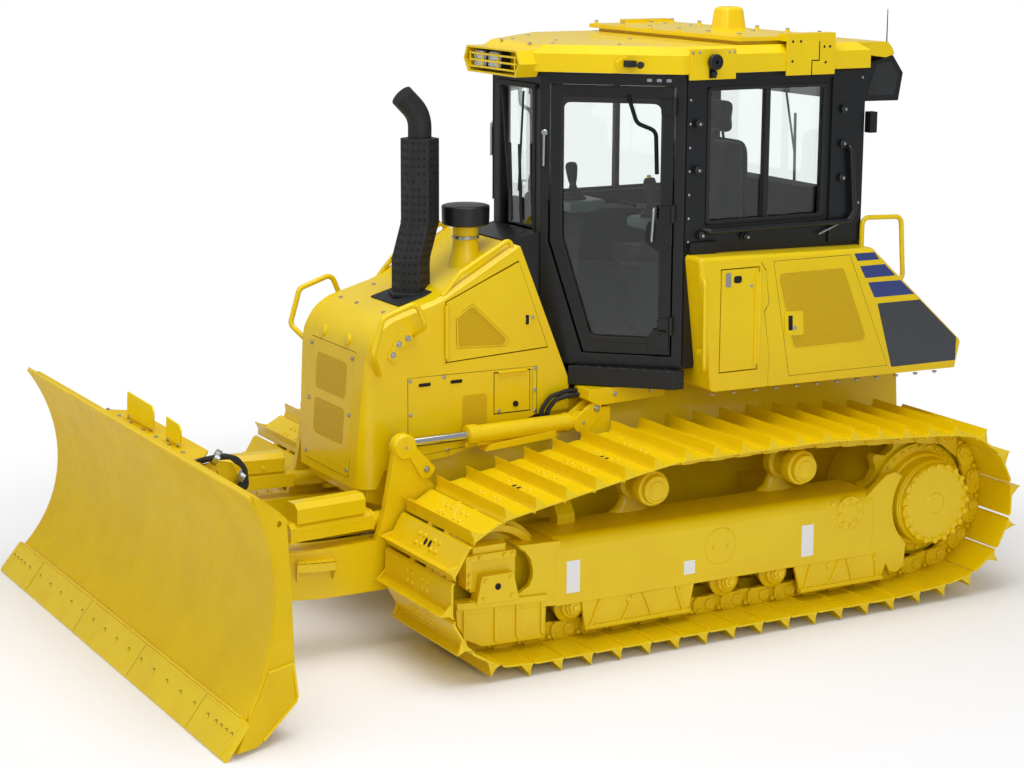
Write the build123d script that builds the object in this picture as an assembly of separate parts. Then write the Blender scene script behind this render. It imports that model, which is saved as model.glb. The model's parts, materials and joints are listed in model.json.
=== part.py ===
"""Low-ground-pressure crawler bulldozer with an angling and tilting blade.

All sizes are millimetres. +Z is up, the blade faces -Y, the machine's left side is +X.
The origin is on the ground, under the middle of the machine's box.
"""
from build123d import *
from math import atan2, cos, hypot, pi, sin, sqrt
import os

# ---------------------------------------------------------------- driving sizes
CLEAR = 6.0            # gap round a panel or between moving pieces
SEAT = 0.3             # gap between curved pieces that seat on each other

# undercarriage
TRACK_GAUGE = 1880.0
SHOE_WIDTH = 710.0
SHOE_COUNT = 44
GROUSER_TOP = 115.0    # grouser tip, outward from the pin line
PLATE_TOP = 58.0       # outer face of a shoe plate, outward from the pin line
PLATE_BOTTOM = 46.0    # inner face of a shoe plate
RAIL_HEIGHT = 48.0     # link rail, inward from the pin line
RAIL_OFFSET = 84.0     # middle of a rail, sideways from the middle of the track
RAIL_WIDTH = 42.0
IDLER_Y, IDLER_Z, IDLER_PIN_R = -727.0, 434.0, 319.0
SPROCKET_Y, SPROCKET_Z, SPROCKET_PIN_R = 1917.0, 504.0, 355.0
SPROCKET_TEETH = 13
CARRIER_YS, CARRIER_Z, CARRIER_PIN_R = (180.0, 1095.0), 775.0, 143.0
ROLLER_COUNT = 7
ROLLER_FIRST_Y, ROLLER_LAST_Y, ROLLER_Z = -304.0, 1547.0, 240.0
FRAME_OUT_X, FRAME_IN_X = 1120.0, 760.0
FRAME_BOTTOM_Z, FRAME_TOP_Z = 345.0, 612.0
FRAME_FRONT_Y, FRAME_REAR_Y = -425.0, 1520.0
HUB_FACE_X, HUB_R = 1150.0, 210.0

# blade and its frame
LIFT_Y, LIFT_Z = -198.0, 450.0          # trunnions of the C-frame
ARM_IN_X, ARM_OUT_X = 425.0, 560.0
FRAME_LOW_Z, FRAME_HIGH_Z = 300.0, 552.0
NOSE_Y, NOSE_R, NOSE_IN_R = -1350.0, 560.0, 400.0
ANGLE_Y = -1930.0                       # upright axis that the blade angles about
TILT_Z = 430.0                          # fore-and-aft axis that the blade tilts about
BOSS_R = 105.0                          # the boss round that axis
BLADE_TOP_Y, BLADE_TOP_Z = -2208.0, 1137.0     # moldboard face: top edge, deepest line and foot
BLADE_MID_Y, BLADE_MID_Z = -2074.0, 655.0
BLADE_FOOT_Y, BLADE_FOOT_Z = -2257.0, 152.0
BLADE_HALF, BLADE_TOE = 1533.0, 0.472   # end plate from the middle at BLADE_END_Y, closing in rearward
BLADE_END_Y = -2150.0
BLADE_SKIN = 16.0
END_PLATE, WEAR_PLATE = 18.0, 10.0
EDGE_TOP_Z, EDGE_TOP_Y, EDGE_TOP_HALF = 154.0, -2267.0, 1630.0
EDGE_LOW_Y, EDGE_LOW_HALF = -2384.0, 1646.0

# lift, angle and tilt cylinders
LIFT_PIN_Y, LIFT_PIN_Z, LIFT_X = -967.0, 1014.0, 493.0
LIFT_HEAD_Y, LIFT_HEAD_Z = 69.0, 1025.0
ANGLE_HEAD = (452.0, -920.0, 640.0)
ANGLE_PIN = (565.0, -1938.0, 640.0)
COVER_START, COVER_END, COVER_HALF, COVER_TOP = 214.0, 684.0, 56.0, 62.0   # cover along and about the cylinder
LIFT_PIN_R, ANGLE_PIN_R, TILT_PIN_R = 22.0, 16.0, 18.0
TILT_HEAD = (-330.0, -2020.0, 930.0)
TILT_PIN = (200.0, -2020.0, 930.0)

# hood, cab and rear body
HOOD_HALF, HOOD_CORNER_R = 390.0, 100.0
HOOD_WALL = 12.0
HOOD_CREST = 20.0
FLAP_Y = -370.0
HOOD_SIDE = ((-1142, 769), (-1134, 879), (-1096, 1420), (-1074, 1512), (-1028, 1582), (-952, 1632),
             (-690, 1705), (-231, 1961), (69, 1225), (69, 1070), (-130, 1060), (-450, 938), (-630, 893),
             (-1000, 860), (-1040, 769))
CAB_FRONT_HALF, CAB_FRONT_Y = 250.0, -28.0
CAB_HALF, CAB_PILLAR_Y, CAB_REAR_Y = 752.0, 522.0, 1652.0
CAB_FLOOR_Z, CAB_TOP_Z, CAB_WALL = 1300.0, 2800.0, 60.0
CAB_KINK_Z, DOOR_LOW_Z, DOOR_LOW_IN = 1940.0, 1362.0, 225.0
ROOF_LOW_Z, ROOF_RIM_Z, ROOF_TOP_Z = 2812.0, 2905.0, 2945.0
DECK_Z = 2985.0                         # top of the raised plate on the roof
BODY_HALF, BODY_ROUND = 900.0, 24.0
BODY_SIDE = ((530, 1897), (1629, 1875), (2248, 1333), (2212, 1177), (615, 1198))

PARTS = {}


# ---------------------------------------------------------------- small helpers
def block(x_range, y_range, z_range):
    """Box from its ranges along X, Y and Z."""
    (x0, x1), (y0, y1), (z0, z1) = x_range, y_range, z_range
    return Pos((x0 + x1) / 2, (y0 + y1) / 2, (z0 + z1) / 2) * Box(x1 - x0, y1 - y0, z1 - z0)


def along_x(points, x0, x1):
    """Prism of a (y, z) outline between two X stations."""
    return extrude(Plane.YZ.offset(x0) * make_face(Polyline(*points, close=True)), x1 - x0)


def along_y(points, y0, y1):
    """Prism of an (x, z) outline between two Y stations."""
    plane = Plane(origin=(0, y1, 0), x_dir=(1, 0, 0), z_dir=(0, -1, 0))
    return extrude(plane * make_face(Polyline(*points, close=True)), y1 - y0)


def along_z(points, z0, z1):
    """Prism of an (x, y) outline between two heights."""
    return extrude(Plane.XY.offset(z0) * make_face(Polyline(*points, close=True)), z1 - z0)


def rod(start, end, radius):
    """Round bar between two points."""
    a, b = Vector(*start), Vector(*end)
    return extrude(Plane(origin=a, z_dir=b - a) * Circle(radius), (b - a).length)


def bar_x(x0, x1, y, z, radius):
    """Round bar along X."""
    return rod((x0, y, z), (x1, y, z), radius)


def tube(points, radius, bend):
    """Bent round tube through a list of corner points."""
    path = FilletPolyline(*points, radius=bend)
    return sweep(Plane(origin=path @ 0, z_dir=path % 0) * Circle(radius), path)


def mirrored(shape):
    """The same piece on the machine's other side."""
    return mirror(shape, about=Plane.YZ)


def add(name, shape):
    """Keep a piece under its node name."""
    PARTS[name] = shape


def add_pair(name, shape):
    """Keep a left-hand piece and its right-hand mirror image."""
    add(name + "_left", shape)
    add(name + "_right", mirrored(shape))


# ---------------------------------------------------------------- track path
def chain_path(wheels):
    """Lines and arcs that wrap the wheels (y, z, radius) anticlockwise seen from +X."""
    tangents = []
    for (y1, z1, r1), (y2, z2, r2) in zip(wheels, wheels[1:] + wheels[:1]):
        dy, dz = y2 - y1, z2 - z1
        gap = hypot(dy, dz)
        lean = (r1 - r2) / gap
        side = sqrt(1 - lean * lean)
        ny = dy / gap * lean + dz / gap * side
        nz = dz / gap * lean - dy / gap * side
        tangents.append(((y1 + r1 * ny, z1 + r1 * nz), (y2 + r2 * ny, z2 + r2 * nz), atan2(nz, ny)))
    pieces = []
    for i, (start, end, normal) in enumerate(tangents):
        pieces.append(("line", start, end, normal, hypot(end[0] - start[0], end[1] - start[1])))
        wheel = wheels[(i + 1) % len(wheels)]
        turn = (tangents[(i + 1) % len(wheels)][2] - normal) % (2 * pi)
        pieces.append(("arc", wheel, None, (normal, turn), wheel[2] * turn))
    return pieces


def chain_point(pieces, station):
    """Point and outward direction at a length along the path."""
    for kind, a, b, data, length in pieces:
        if station <= length:
            if kind == "line":
                t = station / length
                return (a[0] + t * (b[0] - a[0]), a[1] + t * (b[1] - a[1])), data
            angle = data[0] + data[1] * station / length
            return (a[0] + a[2] * cos(angle), a[1] + a[2] * sin(angle)), angle
        station -= length
    return chain_point(pieces, 0.0)


CHAIN_WHEELS = [(IDLER_Y, IDLER_Z, IDLER_PIN_R),
                (ROLLER_LAST_Y, ROLLER_Z, ROLLER_Z - (IDLER_Z - IDLER_PIN_R)),
                (SPROCKET_Y, SPROCKET_Z, SPROCKET_PIN_R),
                (CARRIER_YS[1], CARRIER_Z, CARRIER_PIN_R),
                (CARRIER_YS[0], CARRIER_Z, CARRIER_PIN_R)]
CHAIN = chain_path(CHAIN_WHEELS)
PITCH = sum(piece[4] for piece in CHAIN) / SHOE_COUNT
PINS = [chain_point(CHAIN, (k + 0.5) * PITCH) for k in range(SHOE_COUNT)]
PIN_POINTS = [pin[0] for pin in PINS]


def offset_point(point, angle, out, back=0.0):
    """Point moved outward, and back along the chain, in its own link's directions."""
    return (point[0] + out * cos(angle) + back * sin(angle), point[1] + out * sin(angle) - back * cos(angle))


def chain_gap(y, z):
    """Smallest distance from a wheel's centre to the straight links of the chain."""
    best = 1e9
    for (y1, z1), (y2, z2) in zip(PIN_POINTS, PIN_POINTS[1:] + PIN_POINTS[:1]):
        length = hypot(y2 - y1, z2 - z1)
        t = max(0.0, min(1.0, ((y - y1) * (y2 - y1) + (z - z1) * (z2 - z1)) / length ** 2))
        best = min(best, hypot(y - y1 - t * (y2 - y1), z - z1 - t * (z2 - z1)))
    return best


def make_tracks():
    """Each track is one loop: two rails with the shoe plates and grousers across them."""
    middle = TRACK_GAUGE / 2
    shoe_outer, shoe_inner, rail_outer, rail_inner = [], [], [], []
    # outline of one shoe along its link, as (share of the pitch, height over the pin line)
    shoe = ((0.02, PLATE_TOP), (0.80, PLATE_TOP), (0.87, GROUSER_TOP), (0.93, GROUSER_TOP),
            (0.98, PLATE_TOP))
    for k in range(SHOE_COUNT):
        (y1, z1), (y2, z2) = PIN_POINTS[k], PIN_POINTS[(k + 1) % SHOE_COUNT]
        length = hypot(y2 - y1, z2 - z1)
        normal = atan2(-(y2 - y1), z2 - z1)
        for share, height in shoe:
            shoe_outer.append((y1 + share * (y2 - y1) + height * cos(normal),
                               z1 + share * (z2 - z1) + height * sin(normal)))
        pin, angle = PINS[k]
        shoe_inner.append(offset_point(pin, angle, PLATE_BOTTOM))
        rail_outer.append(offset_point(pin, angle, PLATE_BOTTOM + 4))
        rail_inner.append(offset_point(pin, angle, -RAIL_HEIGHT))
    half = SHOE_WIDTH / 2
    loop = along_x(shoe_outer, middle - half, middle + half) - along_x(shoe_inner, middle - half - 1,
                                                                      middle + half + 1)
    for side in (-1, 1):
        x = middle + side * RAIL_OFFSET
        rail = along_x(rail_outer, x - RAIL_WIDTH / 2, x + RAIL_WIDTH / 2)
        rail -= along_x(rail_inner, x - RAIL_WIDTH, x + RAIL_WIDTH)
        loop += rail
    add_pair("track", loop)


def spin(profile, y, z):
    """Solid of revolution about an X axis through (y, z), from (x, radius) points."""
    points = [(x, y + radius) for x, radius in profile]
    face = Plane(origin=(0, 0, z), x_dir=(1, 0, 0), z_dir=(0, 0, 1)) * make_face(Polyline(*points, close=True))
    return revolve(face, Axis((0, y, z), (1, 0, 0)))


def make_wheels():
    """Idlers, sprockets, track rollers and carrier rollers."""
    middle = TRACK_GAUGE / 2
    tread = chain_gap(IDLER_Y, IDLER_Z) - RAIL_HEIGHT - SEAT
    guide = RAIL_OFFSET - RAIL_WIDTH / 2 - 4
    idler = spin([(middle - 120, 0), (middle - 120, 74), (middle - 36, tread - 60), (middle - 108, tread - 34),
                  (middle - 108, tread), (middle - guide, tread), (middle - guide + 8, tread + 26),
                  (middle + guide - 8, tread + 26), (middle + guide, tread), (middle + 108, tread),
                  (middle + 108, tread - 34), (middle + 36, tread - 60), (middle + 120, 74),
                  (middle + 120, 0)], IDLER_Y, IDLER_Z)
    add_pair("idler", idler)

    root_r, tip_r, plate = SPROCKET_PIN_R - 32, SPROCKET_PIN_R + 26, 28.0
    outline = []
    for k in range(SPROCKET_TEETH):
        mid = 2 * pi * k / SPROCKET_TEETH
        for share, radius in ((-0.5, root_r), (-0.24, root_r + 8), (-0.10, tip_r), (0.10, tip_r),
                              (0.24, root_r + 8)):
            angle = mid + share * 2 * pi / SPROCKET_TEETH
            outline.append((SPROCKET_Y + radius * cos(angle), SPROCKET_Z + radius * sin(angle)))
    sprocket = along_x(outline, middle - plate, middle + plate)
    sprocket -= bar_x(middle - 50, middle + 50, SPROCKET_Y, SPROCKET_Z, 252)
    add_pair("sprocket", sprocket)

    drive = spin([(500, 0), (500, 250), (560, 290), (700, 290), (760, 262), (middle - plate - 30, 255),
                  (middle - plate - 30, 300), (middle - plate, 300), (middle - plate, 250),
                  (middle + plate + 4, 250), (middle + plate + 4, 300), (middle + plate + 24, 300),
                  (middle + plate + 34, 250), (1110, 230), (1136, HUB_R), (HUB_FACE_X, HUB_R - 10),
                  (HUB_FACE_X, 0)], SPROCKET_Y, SPROCKET_Z)
    add_pair("final_drive", drive)

    roller_ys = [ROLLER_FIRST_Y + k * (ROLLER_LAST_Y - ROLLER_FIRST_Y) / (ROLLER_COUNT - 1)
                 for k in range(ROLLER_COUNT)]
    tread = min(chain_gap(y, ROLLER_Z) for y in roller_ys) - RAIL_HEIGHT - SEAT
    flange = RAIL_OFFSET + RAIL_WIDTH / 2 + 3
    rollers = []
    for y in roller_ys:
        rollers.append(spin([(FRAME_IN_X + 20, 0), (middle - flange, tread + 18), (middle - flange, tread),
                             (middle + flange, tread), (middle + flange, tread + 18),
                             (FRAME_OUT_X - 20, 0)], y, ROLLER_Z))
    carriers = []
    for y in CARRIER_YS:
        tread = chain_gap(y, CARRIER_Z) - RAIL_HEIGHT - SEAT
        carriers.append(spin([(805, 0), (822, tread), (1052, tread), (1058, 74), (1087, 70),
                              (1087, 0)], y, CARRIER_Z))
    add_pair("track_rollers", Compound(children=rollers + carriers))


def make_track_frames():
    """Box frame with roller skirts, idler yoke and carrier posts, one per side."""
    lower = 268.0
    round_r = 60.0
    section = Plane.XZ.offset(-FRAME_FRONT_Y) * make_face(Polyline(
        (FRAME_IN_X, lower), (FRAME_IN_X, FRAME_TOP_Z), (FRAME_OUT_X, FRAME_TOP_Z), (FRAME_OUT_X, lower),
        (FRAME_OUT_X - 20, lower), (FRAME_OUT_X - 20, FRAME_BOTTOM_Z), (FRAME_IN_X + 20, FRAME_BOTTOM_Z),
        (FRAME_IN_X + 20, lower), close=True))
    beam = extrude(section, FRAME_FRONT_Y - FRAME_REAR_Y)
    beam = fillet(beam.edges().filter_by(Axis.Y).group_by(Axis.Z)[-1], round_r)
    # roller carrier guards hang to the shafts, in two spans each side
    for x0, x1 in ((FRAME_IN_X, FRAME_IN_X + 20), (FRAME_OUT_X - 20, FRAME_OUT_X)):
        guard = along_x(((-400, 345), (-400, 250), (-350, 205), (1600, 205), (1640, 250), (1640, 300),
                         (1500, 345)), x0, x1)
        beam += guard
    # idler yoke: cheeks with a round hollow ahead of the box, a bearing block and a guard below each
    for x0, x1, out in ((FRAME_IN_X, FRAME_IN_X + 36, -22), (FRAME_OUT_X - 36, FRAME_OUT_X, 22)):
        beam += along_x(((-400, 600), (-640, 606), (-600, 575), (-566, 530), (-552, 480), (-553, 432), (-574, 392),
                         (-625, 366), (-900, 366), (-940, 350), (-978, 360), (-968, 250), (-915, 168), (-830, 124),
                         (-480, 116), (-474, 276), (-400, 276)), x0, x1)
        beam += along_x(((-890, 345), (-890, 566), (-925, 566), (-925, 592), (-650, 592), (-650, 556), (-640, 540),
                         (-640, 345)), x0, x1)
        beam += along_x(((-877, 345), (-846, 486), (-672, 486), (-640, 345)), min(x0, x0 + out), max(x1, x1 + out))
    for y in CARRIER_YS:
        post = along_x(((y - 90, FRAME_TOP_Z - 20), (y - 45, CARRIER_Z + 10), (y - 30, CARRIER_Z + 40),
                        (y + 30, CARRIER_Z + 40), (y + 45, CARRIER_Z + 10), (y + 90, FRAME_TOP_Z - 20)),
                       765, 805)
        beam += post
    # rear cheek that curves round the hub
    cheek = along_x(((1500, 345), (1500, FRAME_TOP_Z - 65), (1640, 660), (1830, 700), (1830, 345)),
                    FRAME_IN_X + 10, FRAME_IN_X + 80)
    beam += cheek - bar_x(700, 900, SPROCKET_Y, SPROCKET_Z, 262 + CLEAR)
    outer = along_x(((1480, 300), (1480, 590), (1540, 640), (1610, 690), (1660, 700), (1850, 650), (1850, 200),
                     (1745, 170), (1700, 142), (1650, 150), (1620, 300)), FRAME_OUT_X - 46, FRAME_OUT_X - 8)
    beam += outer - bar_x(1000, 1200, SPROCKET_Y, SPROCKET_Z, 262 + CLEAR)
    # covers of the hand hole and of the recoil spring
    for y, z, radius in ((544, 446, 98), (1364, 515, 92)):
        beam += bar_x(FRAME_OUT_X - 5, FRAME_OUT_X + 11, y, z, radius)
    add_pair("track_frame", beam)


def make_main_frame():
    """Belly case between the tracks with its cross members and the rear axle case."""
    half = 345.0
    case = along_x(((-1080, 700), (-1080, 880), (-1010, 960), (-100, 960), (0, 1080), (560, 1198), (615, 1198),
                    (2212, 1177), (2256, 1100), (2290, 640), (2200, 420), (1500, 400), (-300, 430),
                    (-700, 560)), -half, half)
    case += bar_x(-500, 500, SPROCKET_Y, SPROCKET_Z, 240)
    case += block((-FRAME_IN_X, FRAME_IN_X), (1180, 1330), (440, 590))
    case += along_y(((-900, FRAME_TOP_Z), (-900, 660), (-820, 760), (820, 760), (900, 660),
                     (900, FRAME_TOP_Z), (830, FRAME_TOP_Z), (780, 665), (-780, 665), (-830, FRAME_TOP_Z)),
                    -290, -190)
    # trunnion shaft of the blade frame and the brackets of the lift cylinders
    case += bar_x(-ARM_OUT_X - 5, ARM_OUT_X + 5, LIFT_Y, LIFT_Z, 45)
    y, z = LIFT_HEAD_Y, LIFT_HEAD_Z
    bracket = block((half - 5, LIFT_X + 52), (y + 62, y + 160), (z - 75, z + 70))
    for x in (LIFT_X - 52, LIFT_X + 28):
        bracket += along_x(((y - 20, z - 48), (y - 48, z - 10), (y - 48, z + 20), (y - 20, z + 46),
                            (y + 70, z + 70), (y + 70, z - 75)), x, x + 24)
    bracket += bar_x(LIFT_X - 52, LIFT_X + 52, y, z, LIFT_PIN_R)
    case += bracket + mirrored(bracket)
    add("main_frame", case)


def make_blade_frame():
    """U-shaped blade frame, its nose round about the hood's front, with a knuckle ahead."""
    def outline(reach, radius, rear):
        """Plan of a U: straight sides closed by a half round in front."""
        line = Polyline((-reach, NOSE_Y), (-reach, rear), (reach, rear), (reach, NOSE_Y))
        arc = ThreePointArc((reach, NOSE_Y), (0, NOSE_Y - radius), (-reach, NOSE_Y))
        return make_face(line + arc)
    rear = LIFT_Y + 90
    u = extrude(Plane.XY.offset(FRAME_LOW_Z) * outline(ARM_OUT_X, NOSE_R, rear), FRAME_HIGH_Z - FRAME_LOW_Z)
    u -= extrude(Plane.XY.offset(FRAME_LOW_Z - 1) * outline(ARM_IN_X, NOSE_IN_R, rear + 5),
                 FRAME_HIGH_Z - FRAME_LOW_Z + 2)
    flange = extrude(Plane.XY.offset(FRAME_HIGH_Z - 22) * outline(ARM_OUT_X, NOSE_R + 18, NOSE_Y + 40), 16)
    u += flange - extrude(Plane.XY.offset(FRAME_HIGH_Z - 23) * outline(ARM_IN_X, NOSE_IN_R, rear), 18)
    for z0, z1 in ((FRAME_LOW_Z + 5, FRAME_LOW_Z + 50), (FRAME_HIGH_Z - 50, FRAME_HIGH_Z - 5)):
        ear = along_z(((-150, ANGLE_Y + 80), (150, ANGLE_Y + 80), (70, ANGLE_Y), (-70, ANGLE_Y)), z0, z1)
        ear += Pos(0, ANGLE_Y, (z0 + z1) / 2) * Cylinder(70, z1 - z0)
        u += ear
    middle_z = (FRAME_LOW_Z + FRAME_HIGH_Z) / 2
    u -= Pos(0, ANGLE_Y, middle_z) * Cylinder(84, FRAME_HIGH_Z - FRAME_LOW_Z - 100)
    u -= Pos(0, ANGLE_Y, middle_z) * Cylinder(31, 400)
    u -= bar_x(-600, 600, LIFT_Y, LIFT_Z, 46)
    # levers that stand up to the lift rods
    lever = along_x(((-1130, 540), (-1080, 700), (-1022, 1000), (-1000, 1052), (LIFT_PIN_Y, 1066),
                     (-938, 1046), (-922, 1000), (-880, 880), (-700, 700), (-560, 545)), 520, 560)
    lever += bar_x(560, 574, LIFT_PIN_Y, LIFT_PIN_Z, 48)
    # fork of the angle cylinder's head
    x, y, z = ANGLE_HEAD
    lever += block((ARM_IN_X + 1, 525), (y + 52, y + 112), (FRAME_HIGH_Z - 5, z + 60))
    for z0 in (z - 60, z + 36):
        lever += block((x - 36, x + 36), (y, y + 60), (z0, z0 + 24)) + Pos(x, y, z0 + 12) * Cylinder(36, 24)
    lever += Pos(x, y, z) * Cylinder(ANGLE_PIN_R, 100)
    for side in (-1, 1):
        u += lever if side > 0 else mirrored(lever)
    add("blade_frame", u)


def face_y(z, behind=0.0):
    """Y of the moldboard's face at a height, or of a surface a distance behind it."""
    y1, z1, y2, z2, y3, z3 = (BLADE_FOOT_Y, BLADE_FOOT_Z, BLADE_MID_Y, BLADE_MID_Z, BLADE_TOP_Y, BLADE_TOP_Z)
    a = 2 * (y2 - y1), 2 * (z2 - z1), y2 * y2 - y1 * y1 + z2 * z2 - z1 * z1
    b = 2 * (y3 - y2), 2 * (z3 - z2), y3 * y3 - y2 * y2 + z3 * z3 - z2 * z2
    scale = a[0] * b[1] - a[1] * b[0]
    middle_y, middle_z = (a[2] * b[1] - a[1] * b[2]) / scale, (a[0] * b[2] - a[2] * b[0]) / scale
    radius = hypot(y1 - middle_y, z1 - middle_z)
    return middle_y + sqrt(radius ** 2 - (z - middle_z) ** 2) + behind


def end_x(y):
    """Inner face of the left end plate, from the middle of the blade."""
    return BLADE_HALF - BLADE_TOE * (y - BLADE_END_Y)


def end_piece(points, inset, thickness):
    """Plate in the plane of the left end plate, from a (y, z) outline."""
    corners = [Vector(end_x(y) + inset, y, z) for y, z in points]
    out = Vector(1, BLADE_TOE, 0).normalized()
    return extrude(make_face(Polyline(*corners, close=True)), thickness, dir=out)


def make_blade():
    """Curved moldboard with end plates, cutting edge, stiffeners and the carrier on its back."""
    low, mid, top = (BLADE_FOOT_Y, BLADE_FOOT_Z), (BLADE_MID_Y, BLADE_MID_Z), (BLADE_TOP_Y, BLADE_TOP_Z)
    low2, mid2, top2 = [(y + BLADE_SKIN, z) for y, z in (low, mid, top)]
    face = make_face(ThreePointArc(low, mid, top) + Line(top, top2) + ThreePointArc(top2, mid2, low2)
                     + Line(low2, low))
    reach = end_x(EDGE_LOW_Y)
    body = extrude(Plane.YZ.offset(-reach) * face, 2 * reach)
    # lower and upper box beams; their front corners lie inside the skin
    inside = BLADE_SKIN / 2
    lower = [(face_y(z, inside), z) for z in (520, 420, 330, 240, BLADE_FOOT_Z + 4)]
    lower += [(-2120, 150), (-2010, 160), (-1985, 240), (-1990, 420), (-2030, 500)]
    low_beam = along_x(lower, -reach, reach) - block((-190, 190), (face_y(TILT_Z, BLADE_SKIN + 4), -1900), (100, 600))
    upper = [(face_y(z, inside), z) for z in (BLADE_TOP_Z - 8, 1060, 980, 890)]
    upper += [(-2050, 900), (-2012, 950), (-2024, 1030), (-2150, BLADE_TOP_Z - 8)]
    notch = block((TILT_HEAD[0] - 160, TILT_PIN[0] + 230), (-2090, -1900), (800, 1072))
    top_beam = along_x(upper, -reach, reach) - notch
    body += low_beam + top_beam
    for x in (-1180, -760, 760, 1180):
        rib = [(face_y(z, inside), z) for z in (900, 800, 700, 600, 500)]
        body += along_x(rib + [(-2000, 480), (-2008, 700), (-2020, 940)], x - 9, x + 9)
    rear = -1900
    plan = [(-end_x(-2450), -2450), (end_x(-2450), -2450), (end_x(rear), rear), (-end_x(rear), rear)]
    body = body & along_z(plan, -50, 1300)
    front = [(face_y(z, -2), z) for z in (180, 260, 340, 430, 520, 610, 700, 790, 880, 970, 1060)]
    tail = [(-2206, BLADE_TOP_Z + 14), (-2012, 1009), (-1989, 650), (-1977, 340), (-1956, 176), (-1964, 152)]
    foot = [(-2196, 18), (-2224, 16), (-2328, 24), (BLADE_FOOT_Y + 4, 140)]
    plate = end_piece(front + tail + foot, 0, END_PLATE)
    wear = end_piece([(face_y(340, 10), 338), (-1979, 336), (-1958, 178), (-1966, 155), (-2196, 22),
                      (-2224, 20), (-2322, 28), (-2250, 150), (face_y(240, 10), 240)], END_PLATE - 1, WEAR_PLATE)
    hole = Vector(end_x(-2049), -2049, 992)
    plate = plate + wear - rod(tuple(hole - Vector(60, 0, 0)), tuple(hole + Vector(60, 0, 0)), 14)
    body += plate + mirrored(plate)
    # flat cover over the tilt cylinder with two upright sight plates
    cover_z = 1072
    body += along_z([(-725, face_y(cover_z, inside)), (-560, -1950), (430, -1950), (675, -2090),
                     (675, face_y(cover_z, inside))], cover_z, cover_z + 10)
    for x0, x1, height in ((-415, -40, 128), (135, 327, 108)):
        body += along_y([(x0, cover_z + 5), (x1, cover_z + 5), (x1 + 12, cover_z + height - 24),
                         (x1 - 8, cover_z + height), (x0 + 16, cover_z + height + 8)], -2052, -2046)
    # gusset towers over the angle rods, clevis plates for them and the boss of the tilt pin
    x, y, z = ANGLE_PIN
    tower = along_x([(face_y(1050, inside), 1050), (-1962, 1072), (-1905, 1056), (-1842, 930), (-1862, 850),
                     (-1990, 790), (face_y(790, inside), 790)], x + 30, x + 48)
    tower -= bar_x(x, x + 80, -2000, 1010, 26)
    tower += along_z([(x - 70, face_y(800, inside)), (x + 48, face_y(800, inside)), (x + 48, -1900), (x + 20, -1880),
                      (x - 40, -1930)], 790, 802)
    for dz in (-76, 54):
        tower += along_z([(x - 62, face_y(z, inside)), (x - 44, y), (x + 44, y), (x + 62, face_y(z, inside))],
                         z + dz, z + dz + 22)
        tower += Pos(x, y, z + dz + 11) * Cylinder(44, 22)
    body += tower + mirrored(tower)
    # the boss follows the back of the skin, so that its round end never shows on the face
    heights = [TILT_Z + BOSS_R * step / 5 for step in range(-5, 6)]
    behind = along_x([(face_y(z, inside), z) for z in heights] + [(-2040, heights[-1]), (-2040, heights[0])],
                     -BOSS_R, BOSS_R)
    boss = rod((0, face_y(heights[0]), TILT_Z), (0, -2048, TILT_Z), BOSS_R) & behind
    body += boss - rod((0, face_y(TILT_Z, BLADE_SKIN + 6), TILT_Z), (0, -2000, TILT_Z), 60)
    lug_x, lug_y, lug_z = TILT_PIN
    for dy in (-48, 24):
        body += along_y(((lug_x - 60, lug_z - 130), (lug_x - 45, lug_z + 45), (lug_x + 45, lug_z + 45),
                         (lug_x + 60, lug_z - 130)), lug_y + dy, lug_y + dy + 24)
    body += along_z(((lug_x - 60, face_y(lug_z - 125, inside)), (lug_x - 60, lug_y + 50), (lug_x + 60, lug_y + 50),
                     (lug_x + 60, face_y(lug_z - 125, inside))), lug_z - 140, lug_z - 110)

    edge = along_x(((EDGE_LOW_Y, 0), (EDGE_LOW_Y + 18, 0), (EDGE_TOP_Y + 12, EDGE_TOP_Z - 14),
                    (EDGE_TOP_Y + 10, EDGE_TOP_Z), (EDGE_TOP_Y - 8, EDGE_TOP_Z), (EDGE_LOW_Y, 10)),
                   -EDGE_LOW_HALF, EDGE_LOW_HALF)
    edge = edge & along_y(((-EDGE_LOW_HALF, -1), (EDGE_LOW_HALF, -1), (EDGE_TOP_HALF, EDGE_TOP_Z + 2),
                           (-EDGE_TOP_HALF, EDGE_TOP_Z + 2)), EDGE_LOW_Y - 50, EDGE_TOP_Y + 100)
    add("blade", body - edge)
    add("cutting_edge", edge)

    # yoke: knuckle in the frame's ears, post, tilt pin and an arm for the tilt cylinder
    middle = (FRAME_LOW_Z + FRAME_HIGH_Z) / 2
    yoke = Pos(0, ANGLE_Y, middle) * Cylinder(72, FRAME_HIGH_Z - FRAME_LOW_Z - 112)
    yoke += block((-70, 70), (-2014, ANGLE_Y), (FRAME_LOW_Z + 56, FRAME_HIGH_Z - 56))
    yoke += Pos(0, ANGLE_Y, middle) * Cylinder(30, FRAME_HIGH_Z - FRAME_LOW_Z - 10)
    hx, hy, hz = TILT_HEAD
    yoke += along_y([(-88, 330), (88, 330), (88, 700), (70, hz - 78), (-88, hz - 78)], -2040, -2006)
    yoke += rod((0, face_y(TILT_Z + 60, BLADE_SKIN + 5), TILT_Z), (0, -2030, TILT_Z), 58)
    yoke += along_y(((-88, hz - 140), (hx - 50, hz - 110), (hx - 50, hz - 78), (-88, hz - 78)), -2046, -1982)
    for dy in (-40, 24):
        yoke += along_y(((hx - 50, hz - 80), (hx - 40, hz + 40), (hx + 40, hz + 40), (hx + 50, hz - 80)),
                        hy + dy, hy + dy + 16)
    yoke += rod((hx, hy - 40, hz), (hx, hy + 40, hz), TILT_PIN_R)
    add("blade_yoke", yoke)


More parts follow.
